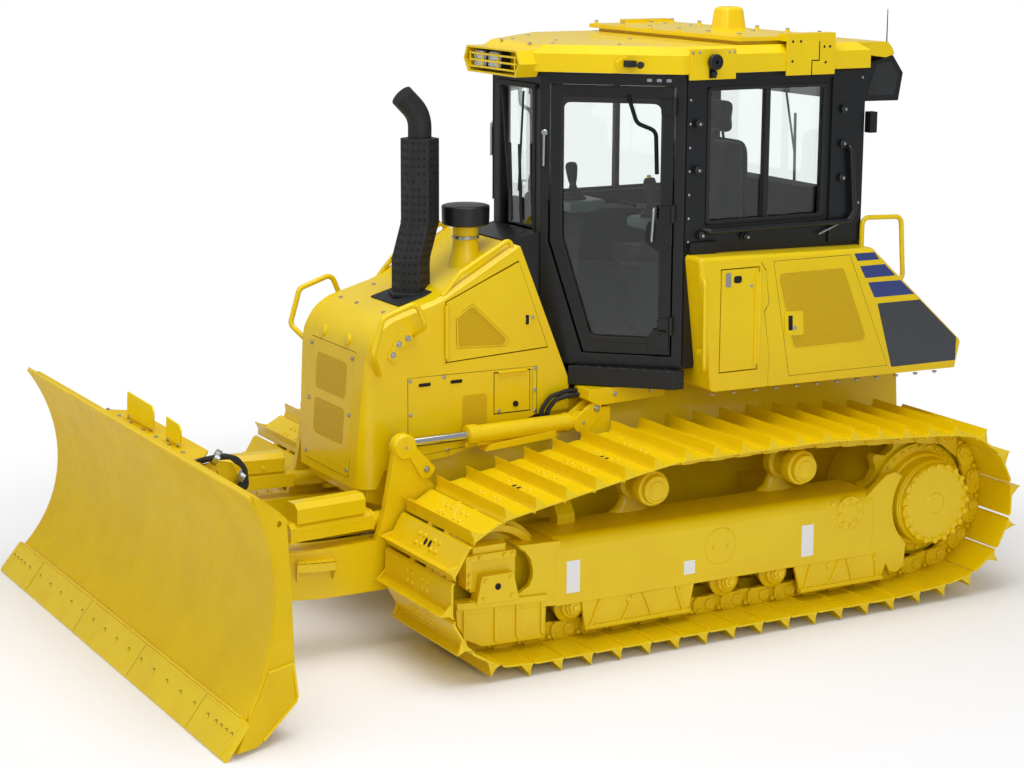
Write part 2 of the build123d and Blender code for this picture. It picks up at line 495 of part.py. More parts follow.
def cylinder(head, pin, barrel_r, rod_r, eye_r, eye_width, barrel_end, axis, pin_r, travel_out):
    """Barrel and rod between two pins; axis is the pins' direction, travel_out the rod's way out."""
    a, b, d = Vector(*head), Vector(*pin), Vector(*axis)
    way = (b - a).normalized()
    reach = (b - a).length
    eye = extrude(Plane(origin=a - d * (eye_width / 2), z_dir=d) * Circle(eye_r), eye_width)
    tail = a + way * (eye_r + 16)
    end = a + way * barrel_end
    barrel = eye + rod(tuple(tail), tuple(end), barrel_r) + rod(tuple(a), tuple(tail + way), eye_width / 2 - 1)
    neck = a + way * (barrel_end + 16)
    barrel += rod(tuple(end), tuple(neck), barrel_r + 6)
    bore = a + way * (eye_r + 30)
    barrel -= rod(tuple(bore), tuple(neck + way), rod_r + 1)
    shaft = rod(tuple(a + way * (barrel_end - travel_out - 60)), tuple(b - way * (eye_r - 12)), rod_r)
    rod_eye = extrude(Plane(origin=b - d * (eye_width / 2), z_dir=d) * Circle(eye_r), eye_width)
    barrel -= rod(tuple(a - d * eye_width), tuple(a + d * eye_width), pin_r + SEAT)
    return barrel, shaft + rod_eye


def make_cylinders():
    """Two lift, two angle and one tilt cylinder."""
    barrel, shaft = cylinder((LIFT_X, LIFT_HEAD_Y, LIFT_HEAD_Z), (LIFT_X, LIFT_PIN_Y, LIFT_PIN_Z),
                             46, 24, 46, 44, 640, (1, 0, 0), LIFT_PIN_R, 130)
    add_pair("lift_barrel", barrel)
    add_pair("lift_rod", shaft)
    # the angle cylinders' heads sit on a cross block, which turns in the blade frame's fork
    way = (Vector(*ANGLE_PIN) - Vector(*ANGLE_HEAD)).normalized()
    across = Vector(-way.Y, way.X, 0)
    barrel, shaft = cylinder(ANGLE_HEAD, ANGLE_PIN, 42, 24, 34, 44, 668, (0, 0, 1), 22, 240)
    head = Vector(*ANGLE_HEAD)
    barrel -= Pos(*ANGLE_HEAD) * Cylinder(46, 200)
    cross = Pos(*ANGLE_HEAD) * Cylinder(26, 70)
    cross += rod(tuple(head - across * 48), tuple(head + across * 48), 14)
    cross -= Pos(*ANGLE_HEAD) * Cylinder(ANGLE_PIN_R + SEAT, 200)
    for side in (-1, 1):
        start = head + across * (side * 34)
        stop = head + across * (side * 48)
        ear = rod(tuple(start), tuple(stop), 34) - rod(tuple(head - across * 60), tuple(head + across * 60), 14.3)
        plate = Plane(origin=start, x_dir=way, z_dir=across * side)
        ear += extrude(plate * Pos(38, 0) * Rectangle(36, 48), 14)
        barrel += ear
    # boxed cover with chamfered top corners round the outer two thirds of the barrel
    half, low, top, corner = COVER_HALF, -28.0, COVER_TOP, 22.0
    section = Plane(origin=head + way * COVER_START, x_dir=across, z_dir=way)
    box = extrude(section * make_face(Polyline((-half, low), (half, low), (half, top - corner), (half - corner, top),
                                               (corner - half, top), (-half, top - corner), close=True)),
                  COVER_END - COVER_START)
    barrel += box - rod(tuple(head), tuple(head + way * (COVER_END + 1)), 40)
    add_pair("angle_barrel", barrel)
    add_pair("angle_cross", cross)
    add_pair("angle_rod", shaft)
    barrel, shaft = cylinder(TILT_HEAD, TILT_PIN, 42, 24, 40, 46, 380, (0, 1, 0), TILT_PIN_R, 55)
    add("tilt_barrel", barrel)
    add("tilt_rod", shaft)


def make_hood():
    """Hood shell with its nose, engine inside, side doors, exhaust and precleaner."""
    outer = along_x(HOOD_SIDE, -HOOD_HALF, HOOD_HALF)
    crest = [edge for edge in outer.edges()
             if all(abs(abs(v.X) - HOOD_HALF) < 1 and v.Z > 1500 for v in edge.vertices())]
    outer = chamfer(crest, HOOD_CREST)
    wall = HOOD_WALL
    inner_side = ((-1130, 700), (-1122, 879), (-1084, 1416), (-1062, 1505), (-1020, 1572), (-948, 1620),
                  (-688, 1692), (-238, 1943), (55, 1222), (55, 700))
    inner = along_x(inner_side, -HOOD_HALF + wall, HOOD_HALF - wall)
    front = HOOD_SIDE[0][0]
    plans = []
    for inset in (0.0, wall):
        half, nose = HOOD_HALF - inset, front + inset
        corner = HOOD_CORNER_R - inset
        line = Polyline((-half, nose + corner), (-half, 200), (half, 200), (half, nose + corner))
        arcs = (RadiusArc((half, nose + corner), (half - corner, nose), corner)
                + Line((half - corner, nose), (corner - half, nose))
                + RadiusArc((corner - half, nose), (-half, nose + corner), corner))
        plans.append(extrude(Plane.XY.offset(600) * make_face(line + arcs), 1500))
    cab_space = along_z(cab_plan(0), CAB_FLOOR_Z, CAB_TOP_Z)
    outer = (outer & plans[0]) - cab_space
    shell = outer - (inner & plans[1]) - block((-351, 351), (-150, 100), (1000, 1112))
    door = ((-652, 1690), (-232, 1871), (-55, 1404), (-652, 1376))
    opening = along_x(door, HOOD_HALF - wall - 1, HOOD_HALF + 1)
    shell -= opening
    shell -= mirrored(opening)
    flap = block((HOOD_HALF - wall, HOOD_HALF), (FLAP_Y, FLAP_Y + 205), (1088, 1296))
    flap_gap = block((HOOD_HALF - wall - 1, HOOD_HALF + 1), (FLAP_Y - 5, FLAP_Y + 210), (1082, 1303))
    shell -= flap_gap
    flap += rod((HOOD_HALF + 7, FLAP_Y + 20, 1300), (HOOD_HALF + 7, FLAP_Y + 185, 1300), 7)
    flap += block((HOOD_HALF - 1, HOOD_HALF + 7), (FLAP_Y + 20, FLAP_Y + 185), (1280, 1300))
    add("service_flap", flap)
    duct = loft([Plane(origin=(130, -400, 1740)) * make_face(Circle(104)),
                 Plane(origin=(130, -400, 1930)) * make_face(Circle(62))])
    duct += Pos(130, -400, 1968) * Cylinder(62, 80)
    add("hood", shell + (duct - outer))
    leaf = ((-645, 1686), (-230, 1862), (-60, 1410), (-645, 1382))
    window = ((-595, 1600), (-500, 1672), (-285, 1470), (-300, 1432), (-590, 1444))
    door_leaf = along_x(leaf, HOOD_HALF - wall, HOOD_HALF) - along_x(window, HOOD_HALF - 13, HOOD_HALF + 1)
    mesh = along_x(window, HOOD_HALF - 8, HOOD_HALF - 5)
    door_leaf += mesh
    door_leaf += rod((HOOD_HALF + 10, -650, 1400), (HOOD_HALF + 10, -650, 1670), 9)
    door_leaf += block((HOOD_HALF - 2, HOOD_HALF + 10), (-652, -630), (1400, 1670))
    add_pair("engine_door", door_leaf)
    add("engine", block((-260, 260), (-960, -140), (960, 1560)))

    rail = tube([(HOOD_HALF - 20, -1010, 1340), (500, -1110, 1470), (500, -1054, 1657),
                 (500, -870, 1719), (500, -820, 1600), (HOOD_HALF - 20, -830, 1530)], 14, 40)
    side_rail = tube([(366, -655, 1716), (366, -560, 1822), (366, -262, 1985), (366, -262, 1925)], 13, 26)
    rails = rail + side_rail
    rails -= outer
    add_pair("hood_handrail", rails)
    shield = make_face(RegularPolygon(92, 6))
    stack = Pos(100, -690, 1694) * Box(300, 230, 40)
    stations = ((-700, 1700), (-700, 1872), (-646, 2060), (-646, 2484))
    for (y0, z0), (y1, z1) in zip(stations, stations[1:]):
        low, high = Plane(origin=(100, y0, z0)), Plane(origin=(100, y1, z1))
        stack += loft([low * shield, high * shield])
    outlet = tube([(100, -646, 2440), (100, -646, 2590), (100, -740, 2700)], 50, 60)
    stack += outlet
    stack -= tube([(100, -646, 2500), (100, -646, 2590), (100, -745, 2706)], 44, 60)
    add("exhaust_stack", stack - outer)
    drum = Pos(130, -400, 2090) * Cylinder(124, 104) + Pos(130, -400, 2030) * Cylinder(70, 40)
    add("precleaner", drum)


def cab_plan(inset):
    """Half-hexagon plan of the cab, moved in by a distance."""
    lean = atan2(CAB_HALF - CAB_FRONT_HALF, CAB_PILLAR_Y - CAB_FRONT_Y)
    front = CAB_FRONT_HALF - inset * (1 / cos(lean) - sin(lean) / cos(lean) * 1.0)
    pillar = CAB_PILLAR_Y + inset * (1 / sin(lean) - cos(lean) / sin(lean))
    half, rear, nose = CAB_HALF - inset, CAB_REAR_Y - inset, CAB_FRONT_Y + inset
    return [(-front, nose), (front, nose), (half, pillar), (half, rear), (-half, rear), (-half, pillar)]


def door_plane():
    """Plane on the outer face of the left door: x runs rearward along the wall, y is up."""
    along = Vector(CAB_HALF - CAB_FRONT_HALF, CAB_PILLAR_Y - CAB_FRONT_Y, 0).normalized()
    out = Vector(along.Y, -along.X, 0)
    return Plane(origin=(CAB_FRONT_HALF, CAB_FRONT_Y, 0), x_dir=along, z_dir=out)


def on_door(points, start, depth):
    """Prism in the door's plane: starts a distance outside the face and runs inward."""
    plane = door_plane().offset(start)
    return extrude(plane * make_face(Polyline(*points, close=True)), -depth)


def make_cab():
    """Hollow cab with its doors, windows, roof, seat and consoles."""
    shell = along_z(cab_plan(0), CAB_FLOOR_Z, CAB_TOP_Z) - along_z(cab_plan(CAB_WALL), CAB_FLOOR_Z + 50,
                                                                 CAB_TOP_Z + 1)
    length = hypot(CAB_HALF - CAB_FRONT_HALF, CAB_PILLAR_Y - CAB_FRONT_Y)
    opening = ((40, CAB_KINK_Z), (40, CAB_TOP_Z - 50), (length - 50, CAB_TOP_Z - 50),
               (length - 50, DOOR_LOW_Z), (DOOR_LOW_IN, DOOR_LOW_Z))
    hole = on_door(opening, 30, CAB_WALL + 60)
    shell -= hole
    shell -= mirrored(hole)
    shell -= block((-190, 190), (CAB_FRONT_Y - 5, CAB_FRONT_Y + CAB_WALL + 5), (CAB_KINK_Z, CAB_TOP_Z - 60))
    shell -= block((-CAB_HALF - 5, CAB_HALF + 5), (655, 1396), (2040, 2740))
    shell -= block((-620, 620), (CAB_REAR_Y - CAB_WALL - 5, CAB_REAR_Y + 5), (2040, 2740))
    # cowl that closes the space between the hood's raked end and the cab's front wall
    shell += along_x(((-210, 1948), (CAB_FRONT_Y, 1985), (CAB_FRONT_Y, 1478)), 10 - CAB_FRONT_HALF,
                     CAB_FRONT_HALF - 10)
    # cross beam, rear overhang and its side cheeks under the roof
    hang = along_x(((CAB_REAR_Y - 5, 2628), (CAB_REAR_Y - 5, 2808), (1800, 2850), (1867, 2866), (1939, 2771),
                    (1913, 2624)), -700, 700)
    hang -= along_x(((CAB_REAR_Y + 5, 2600), (CAB_REAR_Y + 5, 2800), (1800, 2836), (1860, 2846), (1895, 2780),
                     (1880, 2600)), -680, 680)
    shell += hang
    add("cab_frame", shell)

    leaf = ((52, CAB_KINK_Z + 4), (52, CAB_TOP_Z - 58), (length - 58, CAB_TOP_Z - 58),
            (length - 58, DOOR_LOW_Z + 8), (DOOR_LOW_IN + 10, DOOR_LOW_Z + 8))
    pane = ((110, CAB_KINK_Z + 20), (110, CAB_TOP_Z - 120), (length - 115, CAB_TOP_Z - 120),
            (length - 115, DOOR_LOW_Z + 70), (DOOR_LOW_IN + 45, DOOR_LOW_Z + 70))
    door = on_door(leaf, 0, CAB_WALL) - on_door(pane, 5, CAB_WALL + 10)
    for z in (1480, 2060, 2600):
        knuckle = extrude(Plane(origin=door_plane().from_local_coords((length - 52, z, 18)), z_dir=(0, 0, 1))
                          * Circle(12), 90)
        strap = extrude(door_plane().offset(-4) * Pos(length - 90, z + 45) * Rectangle(64, 70), 16)
        door += strap
        door += knuckle
    add_pair("cab_door", door)
    glass = on_door(pane, -22, 6)
    add_pair("door_glass", glass)
    front = block((-190, 190), (CAB_FRONT_Y + 22, CAB_FRONT_Y + 28), (CAB_KINK_Z, CAB_TOP_Z - 60))
    rear = block((-620, 620), (CAB_REAR_Y - 30, CAB_REAR_Y - 24), (2040, 2740))
    side = block((CAB_HALF - 30, CAB_HALF - 24), (655, 1396), (2040, 2740))
    add("cab_glass", Compound(children=[front, rear, side, mirrored(side)]))

    roof_plan = [(-290, -92), (290, -92), (802, 470), (802, 1640), (-802, 1640), (-802, 470)]
    cap_plan = [(0.93 * x, 0.93 * (y - 800) + 800) for x, y in roof_plan]
    roof = along_z(roof_plan, ROOF_LOW_Z, ROOF_RIM_Z)
    roof += loft([Plane.XY.offset(ROOF_RIM_Z) * make_face(Polyline(*roof_plan, close=True)),
                  Plane.XY.offset(ROOF_TOP_Z) * make_face(Polyline(*cap_plan, close=True))])
    roof -= along_z([(0.96 * x, 0.96 * (y - 800) + 800) for x, y in roof_plan], ROOF_LOW_Z - 1, ROOF_RIM_Z - 20)
    # hood over the rear overhang, and the housing of the front lamps
    roof += along_x(((1630, ROOF_RIM_Z - 24), (1630, ROOF_TOP_Z - 4), (1815, 2938), (1846, 2905), (1860, 2872),
                     (1800, 2856)), -720, 720)
    mouth = [(-270, 2917), (270, 2917), (302, 2850), (256, 2782), (-256, 2782), (-302, 2850)]
    lamps = along_y(mouth, -183, -60) - along_y([(0.94 * x, 0.86 * (z - 2850) + 2850) for x, z in mouth], -190, -82)
    lamps += along_x(((-92, 2917), (-92, 2860), (60, 2850), (60, ROOF_TOP_Z - 4)), -270, 270)
    roof += lamps - along_z(cab_plan(0), CAB_FLOOR_Z, CAB_TOP_Z)
    # raised plate, the brackets beside it and the plates that carry the corner lamps
    roof += along_z([(-740, 850), (740, 850), (740, 1400), (-740, 1400)], DECK_Z - 22, DECK_Z)
    roof += along_z([(-700, 890), (700, 890), (700, 1380), (-700, 1380)], ROOF_TOP_Z - 12, DECK_Z - 20)
    for x0, x1, y0, y1, z0, z1 in ((738, 812, 1096, 1400, DECK_Z - 24, DECK_Z + 16), (802, 812, 1096, 1400, 2788, DECK_Z),
                                   (798, 812, 507, 782, 2783, 2936)):
        roof += block((x0, x1), (y0, y1), (z0, z1)) + block((-x1, -x0), (y0, y1), (z0, z1))
    add("cab_roof", roof)
    dome = loft([Plane(origin=(0, 1287, DECK_Z)) * make_face(Rectangle(158, 158)),
                 Plane(origin=(0, 1287, 3088)) * make_face(Rectangle(128, 128))])
    dome += loft([Plane(origin=(0, 1287, 3088)) * make_face(Rectangle(128, 128)),
                  Plane(origin=(0, 1287, 3103)) * make_face(Rectangle(92, 92))])
    add("gnss_dome", dome)
    lamp_set = Compound(children=[block((x - 62, x + 62), (-158, -100), (2800, 2900)) for x in (-165, -10)]
                        + [rod((side * 812.5, 640, 2870), (side * 852, 640, 2870), 34) for side in (-1, 1)]
                        + [rod((side * 560, 1936, 2700), (side * 560, 1988, 2700), 48)
                           for side in (-1, 1)])
    add("work_lamps", lamp_set)

    seat = block((-250, 250), (680, 1180), (1700, 1830))
    seat += block((-240, 240), (1160, 1290), (1780, 2420))
    seat += block((-140, 140), (1170, 1270), (2400, 2620))
    add("seat", seat)
    floor = CAB_FLOOR_Z + 50
    station = [block((-220, 220), (720, 1160), (floor, 1700 - SEAT))]
    for side in (-1, 1):
        console = along_x(((540, floor), (560, 1840), (600, 1960), (900, 1990), (1200, 1960), (1200, floor)),
                          300, 520)
        console += rod((410, 660, 1950), (410, 650, 2090), 24)
        station.append(console if side > 0 else mirrored(console))
    station.append(block((-150, 150), (50, 110), (floor, 1396)))
    add("operator_station", Compound(children=station))
    step = along_z([(HOOD_HALF + 4, 60), (CAB_HALF + 30, CAB_PILLAR_Y - 60), (CAB_HALF + 30, 528),
                    (HOOD_HALF + 4, 528)], 1200, CAB_FLOOR_Z)
    add_pair("side_step", step)


def make_rear_body():
    """Rear housing with side boxes, access doors, rear grille and drawbar."""
    body = along_x(BODY_SIDE, -BODY_HALF, BODY_HALF)
    rims = [edge for edge in body.edges()
            if all(abs(abs(v.X) - BODY_HALF) < 1 and (v.Y < 700 or v.Z > 1300) for v in edge.vertices())]
    body = fillet(rims, BODY_ROUND)
    body -= block((-CAB_HALF, CAB_HALF), (400, CAB_REAR_Y), (CAB_FLOOR_Z, 2000))
    pocket = block((BODY_HALF - 120, BODY_HALF + 1), (660, 900), (1290, 1830))
    body -= pocket
    body -= mirrored(pocket)
    (top_y, top_z), (low_y, low_z) = BODY_SIDE[1], BODY_SIDE[2]
    slope = Vector(0, low_y - top_y, low_z - top_z)
    down = slope.normalized()
    back = Plane(origin=(0, top_y, top_z), x_dir=(1, 0, 0), z_dir=(0, -down.Z, down.Y))
    middle = Pos(0, slope.length / 2)
    body -= extrude(back * middle * Rectangle(1240, 620), -160)
    grille = extrude(back * middle * Rectangle(1228, 608), -40)
    for row in range(12):
        y = slope.length / 2 - 264 + row * 48
        grille -= extrude(back * Pos(0, y) * Rectangle(1140, 26), -60)
    axis = back.from_local_coords((0, slope.length / 2 - 308, 14))
    for x in (-420, 420):
        grille += bar_x(x - 60, x + 60, axis.Y, axis.Z, 12)
        grille += extrude(back * Pos(x, slope.length / 2 - 285) * Rectangle(80, 40), 12)
        for side in (-1, 1):
            body += bar_x(x + side * 61, x + side * 95, axis.Y, axis.Z, 12)
            body += extrude(back * Pos(x + side * 78, slope.length / 2 - 325) * Rectangle(34, 30), 18)
    add("rear_grille", grille)
    add("rear_body", body)
    door = block((BODY_HALF - 14, BODY_HALF), (666, 894), (1296, 1824))
    door += rod((BODY_HALF + 9, 897, 1320), (BODY_HALF + 9, 897, 1800), 9)
    door += block((BODY_HALF - 3, BODY_HALF + 9), (870, 897), (1320, 1800))
    add_pair("access_door", door)
    rail = tube([(780, 1640, 1850), (780, 1640, 2020), (780, 1900, 2010), (780, 1930, 1640), (780, 1800, 1690)],
                13, 40)
    rails = Compound(children=[rail - body, mirrored(rail - body)])
    add("rear_handrails", rails)
    end = -EDGE_LOW_Y
    bar = along_x(((2150, 470), (2150, 560), (end - 30, 560), (end, 530), (end, 500), (end - 30, 470)), -90, 90)
    bar -= rod((0, end - 50, 400), (0, end - 50, 600), 26)
    add("drawbar", bar - PARTS["main_frame"])


def main():
    """Build every piece and write one STEP file for each."""
    os.makedirs("parts", exist_ok=True)
    make_tracks()
    make_wheels()
    make_track_frames()
    make_main_frame()
    make_blade_frame()
    make_blade()
    make_cylinders()
    make_hood()
    make_cab()
    make_rear_body()
    for name, shape in PARTS.items():
        export_step(shape, "parts/" + name + ".step")


main()
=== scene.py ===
"""Crawler bulldozer with an angling and tilting blade: finishes, fine detail and studio.

Sizes are millimetres in the machine's own frame until a mesh is stored, which is in metres.
"""
import json
import logging
import math
from dataclasses import dataclass, field
from enum import Enum
from typing import Iterable, Optional, Sequence

import bmesh
import bpy
from mathutils import Matrix, Quaternion, Vector

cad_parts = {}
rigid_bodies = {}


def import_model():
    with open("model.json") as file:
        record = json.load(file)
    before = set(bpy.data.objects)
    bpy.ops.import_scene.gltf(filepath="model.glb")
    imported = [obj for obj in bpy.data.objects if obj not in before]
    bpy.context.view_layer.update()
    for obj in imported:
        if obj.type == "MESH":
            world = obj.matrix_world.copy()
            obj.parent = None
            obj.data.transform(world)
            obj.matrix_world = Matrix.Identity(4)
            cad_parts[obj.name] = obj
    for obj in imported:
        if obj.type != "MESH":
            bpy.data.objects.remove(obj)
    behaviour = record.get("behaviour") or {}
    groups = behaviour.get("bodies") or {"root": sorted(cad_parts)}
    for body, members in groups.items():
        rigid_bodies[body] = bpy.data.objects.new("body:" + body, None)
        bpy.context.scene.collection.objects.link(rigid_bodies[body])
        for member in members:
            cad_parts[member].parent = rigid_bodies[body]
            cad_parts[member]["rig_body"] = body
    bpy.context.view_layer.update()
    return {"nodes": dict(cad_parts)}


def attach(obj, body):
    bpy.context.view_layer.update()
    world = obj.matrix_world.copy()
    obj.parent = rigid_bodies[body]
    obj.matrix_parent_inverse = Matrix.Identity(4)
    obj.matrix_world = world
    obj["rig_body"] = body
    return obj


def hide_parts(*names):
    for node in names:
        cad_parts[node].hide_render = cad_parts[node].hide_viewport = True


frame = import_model()
log = logging.getLogger("bulldozer")
MM = 0.001
X, Y, Z = (1, 0, 0), (0, 1, 0), (0, 0, 1)
SIDES = ((1, "left"), (-1, "right"))        # the machine's left side is +X
MIRROR = Matrix.Scale(-1, 4, X)
EDGE_ANGLE = math.radians(34)               # edges sharper than this are rounded or kept sharp
FLAT_ANGLE = math.radians(0.6)              # faces that meet flatter than this are one face
WELD = 2e-5                                 # metres within which vertices are one
TIP = 0.05                                  # least radius of a turned solid's end
WANDER = 240                                # millimetres over which a finish's colour wanders
ROUGH_WANDER = 60                           # and its roughness
Point = Sequence[float]
Flat = Sequence[float]


# ---------------------------------------------------------------- finishes
def linear(code: str) -> tuple[float, float, float, float]:
    """Turn an sRGB hex colour into the linear values that a shader takes.

    Args:
        code: six hex digits, with or without a leading hash.
    Returns:
        Red, green, blue and an alpha of 1.
    """
    parts = [int(code.lstrip("#")[i:i + 2], 16) / 255 for i in (0, 2, 4)]
    return (*[c / 12.92 if c <= 0.04045 else ((c + 0.055) / 1.055) ** 2.4 for c in parts], 1.0)


def add_node(tree: bpy.types.NodeTree, kind: str, values: Optional[dict] = None,
             **settings) -> bpy.types.Node:
    """Add a shader node with its settings, input values and links.

    Args:
        tree: the node tree to add to.
        kind: Blender's name for the node type.
        values: input name or index to a value, or to a socket that is linked in.
        settings: attributes of the node.
    Returns:
        The new node.
    """
    made = tree.nodes.new(kind)
    for key, value in settings.items():
        setattr(made, key, value)
    for key, value in (values or {}).items():
        if isinstance(value, bpy.types.NodeSocket):
            tree.links.new(value, made.inputs[key])
        else:
            made.inputs[key].default_value = value
    return made


class Pattern(Enum):
    """Relief that a surface shows close up."""
    NONE = "none"
    ORANGE_PEEL = "orange peel of sprayed enamel"
    GRAIN = "moulded leather grain"
    WEAVE = "plain weave"
    PERFORATED = "round holes in staggered rows"
    CAST = "sand-cast skin"
    BRUSHED = "fine grinding lines"


@dataclass(frozen=True)
class Finish:
    """One finish: what it is made of, how it was made, and how that shows."""
    name: str
    slot: str
    colour: str
    roughness: float = 0.4
    metallic: float = 0.0
    coat: float = 0.0
    coat_roughness: float = 0.05
    pattern: Pattern = Pattern.NONE
    pitch: float = 3.0
    relief: float = 0.05
    shade: str = ""
    drift: float = 0.0
    transmission: float = 0.0
    ior: float = 1.5
    sheen: float = 0.0
    specular: float = 0.5

    def material(self) -> bpy.types.Material:
        """Build the material the first time that it is asked for.

        Returns:
            The material.
        """
        known = bpy.data.materials.get(self.name)
        if known:
            return known
        mat = bpy.data.materials.new(self.name)
        mat.use_nodes = True
        tree = mat.node_tree
        shader = tree.nodes["Principled BSDF"]
        values = {"Base Color": linear(self.colour), "Roughness": self.roughness, "Metallic": self.metallic,
                  "Coat Weight": self.coat, "Coat Roughness": self.coat_roughness,
                  "Transmission Weight": self.transmission, "Sheen Weight": self.sheen,
                  "Specular IOR Level": self.specular}
        if not self.metallic:
            values["IOR"] = self.ior
        for key, value in values.items():
            shader.inputs[key].default_value = value
        place = add_node(tree, "ShaderNodeTexCoord").outputs["Object"]
        if self.drift:
            self._drift(tree, shader, place)
        if self.pattern is not Pattern.NONE:
            self._relief(tree, shader, place)
        return mat

    def _drift(self, tree: bpy.types.NodeTree, shader: bpy.types.Node, place: bpy.types.NodeSocket) -> None:
        """Let colour and roughness wander a little over a hand's breadth, as sprayed and handled paint does.

        Args:
            tree: the material's nodes.
            shader: its Principled shader.
            place: the object coordinates.
        """
        noise = add_node(tree, "ShaderNodeTexNoise", {"Vector": place, "Scale": 1000 / WANDER, "Detail": 4.0})
        fac = add_node(tree, "ShaderNodeMapRange", {0: noise.outputs[0], 1: 0.35, 2: 0.65, 3: 0.0,
                                                    4: self.drift})
        mix = add_node(tree, "ShaderNodeMix", {0: fac.outputs[0], 6: linear(self.colour),
                                               7: linear(self.shade or self.colour)}, data_type="RGBA")
        tree.links.new(mix.outputs[2], shader.inputs["Base Color"])
        fine = add_node(tree, "ShaderNodeTexNoise", {"Vector": place, "Scale": 1000 / ROUGH_WANDER,
                                                     "Detail": 3.0})
        rough = add_node(tree, "ShaderNodeMapRange", {0: fine.outputs[0], 1: 0.3, 2: 0.7,
                                                      3: self.roughness * 0.85, 4: self.roughness * 1.2})
        tree.links.new(rough.outputs[0], shader.inputs["Roughness"])

    def _relief(self, tree: bpy.types.NodeTree, shader: bpy.types.Node, place: bpy.types.NodeSocket) -> None:
        """Add the finish's relief, and holes painted dark as shade where it is pierced.

        Args:
            tree: the material's nodes.
            shader: its Principled shader.
            place: the object coordinates.
        """
        scale = 1000 / self.pitch
        if self.pattern in (Pattern.ORANGE_PEEL, Pattern.CAST):
            height = add_node(tree, "ShaderNodeTexNoise",
                              {"Vector": place, "Scale": scale, "Detail": 2.0}).outputs[0]
        elif self.pattern is Pattern.GRAIN:
            height = add_node(tree, "ShaderNodeTexVoronoi", {"Vector": place, "Scale": scale},
                              feature="DISTANCE_TO_EDGE").outputs[0]
        elif self.pattern is Pattern.BRUSHED:
            squeeze = add_node(tree, "ShaderNodeMapping", {0: place, 3: (0.04, 1.0, 1.0)})
            height = add_node(tree, "ShaderNodeTexNoise",
                              {"Vector": squeeze.outputs[0], "Scale": scale}).outputs[0]
        elif self.pattern is Pattern.WEAVE:
            height = self._weave(tree, place, scale)
        else:
            height = self._holes(tree, shader, place)
        bump = add_node(tree, "ShaderNodeBump", {"Height": height, "Distance": self.relief * MM,
                                                 "Strength": 1.0})
        tree.links.new(bump.outputs[0], shader.inputs["Normal"])

    @staticmethod
    def _weave(tree: bpy.types.NodeTree, place: bpy.types.NodeSocket, scale: float) -> bpy.types.NodeSocket:
        """Make the height of crossing threads.

        Args:
            tree: the material's nodes.
            place: the object coordinates.
            scale: radians of the threads' wave per metre.
        Returns:
            The socket that carries the height.
        """
        waves = [add_node(tree, "ShaderNodeTexWave",
                          {"Vector": place, "Scale": scale / 20, "Distortion": 0.4},
                          bands_direction=way).outputs[1] for way in ("X", "Z")]
        return add_node(tree, "ShaderNodeMath", {0: waves[0], 1: waves[1]}, operation="MULTIPLY").outputs[0]

    def _holes(self, tree: bpy.types.NodeTree, shader: bpy.types.Node,
               place: bpy.types.NodeSocket) -> bpy.types.NodeSocket:
        """Darken a grid of holes with painted shade, turned by 45 degrees so that its rows run slantwise.

        Args:
            tree: the material's nodes.
            shader: its Principled shader.
            place: the object coordinates.
        Returns:
            The socket that carries the height.
        """
        turned = add_node(tree, "ShaderNodeMapping", {0: place, 2: (math.radians(45), 0, math.radians(45))})
        cells = add_node(tree, "ShaderNodeTexVoronoi", {"Vector": turned.outputs[0],
                                                        "Scale": 1000 / self.pitch, "Randomness": 0.0})
        edge = add_node(tree, "ShaderNodeMapRange", {0: cells.outputs["Distance"], 1: 0.36, 2: 0.44,
                                                     3: 1.0, 4: 0.0})
        mix = add_node(tree, "ShaderNodeMix", {0: edge.outputs[0], 6: linear(self.colour),
                                               7: linear(self.shade)}, data_type="RGBA")
        tree.links.new(mix.outputs[2], shader.inputs["Base Color"])
        return add_node(tree, "ShaderNodeMath", {0: 1.0, 1: edge.outputs[0]}, operation="SUBTRACT").outputs[0]


# Two-pack gloss enamel, sprayed: deep clear colour, a faint orange peel and sharp highlights.
ENAMEL = Finish("sprayed_gloss_enamel", "yellow_paint", "#EBCB02", 0.36, coat=0.3, coat_roughness=0.05,
                pattern=Pattern.ORANGE_PEEL, pitch=9, relief=0.05, shade="#E4C002", drift=0.5, specular=0.25)
# The same enamel over castings: softer highlights, sand skin showing through.
CAST_ENAMEL = Finish("enamelled_casting", "yellow_paint", "#E7C704", 0.42, coat=0.22, coat_roughness=0.12,
                     pattern=Pattern.CAST, pitch=7, relief=0.3, shade="#DDB803", drift=0.6, specular=0.25)
# Enamelled hard steel edge: flatter, a little thinner at the bolt holes.
EDGE_ENAMEL = Finish("enamelled_wear_steel", "edge_steel", "#E9CA08", 0.42, coat=0.2, coat_roughness=0.15,
                     pattern=Pattern.CAST, pitch=10, relief=0.12, shade="#DDBA06", drift=0.6, specular=0.25)
# Powder coat on the cab's frame: near black, satin, with the pebble of fused powder.
POWDER = Finish("satin_powder_coat", "black_paint", "#131619", 0.36, coat=0.12, coat_roughness=0.2,
                pattern=Pattern.ORANGE_PEEL, pitch=4, relief=0.06, shade="#0E1012", drift=0.5, specular=0.4)
# Heat-proof matt black on the exhaust, dry to the eye.
HEAT_BLACK = Finish("heat_resistant_matt_black", "black_paint", "#202125", 0.55, pattern=Pattern.CAST,
                    pitch=3, relief=0.08, shade="#191A1D", drift=0.5, specular=0.35)
# Near-black painted shade for the dark inside holes, slots, recesses, mouths and seams.
SHADE_BLACK = Finish("shadowed_hollow", "black_paint", "#050506", 0.8, pattern=Pattern.CAST, pitch=5,
                    relief=0.05)
# Narrow shadowed gaps between painted steel plates; the same dark is also a painted shadow crescent above
# each edge bolt.
JOINT_AND_BOLT_SHADOW = Finish("shadowed_enamel_gap", "edge_steel", "#8A6A06", 0.7, pattern=Pattern.CAST, pitch=5,
                  relief=0.05)
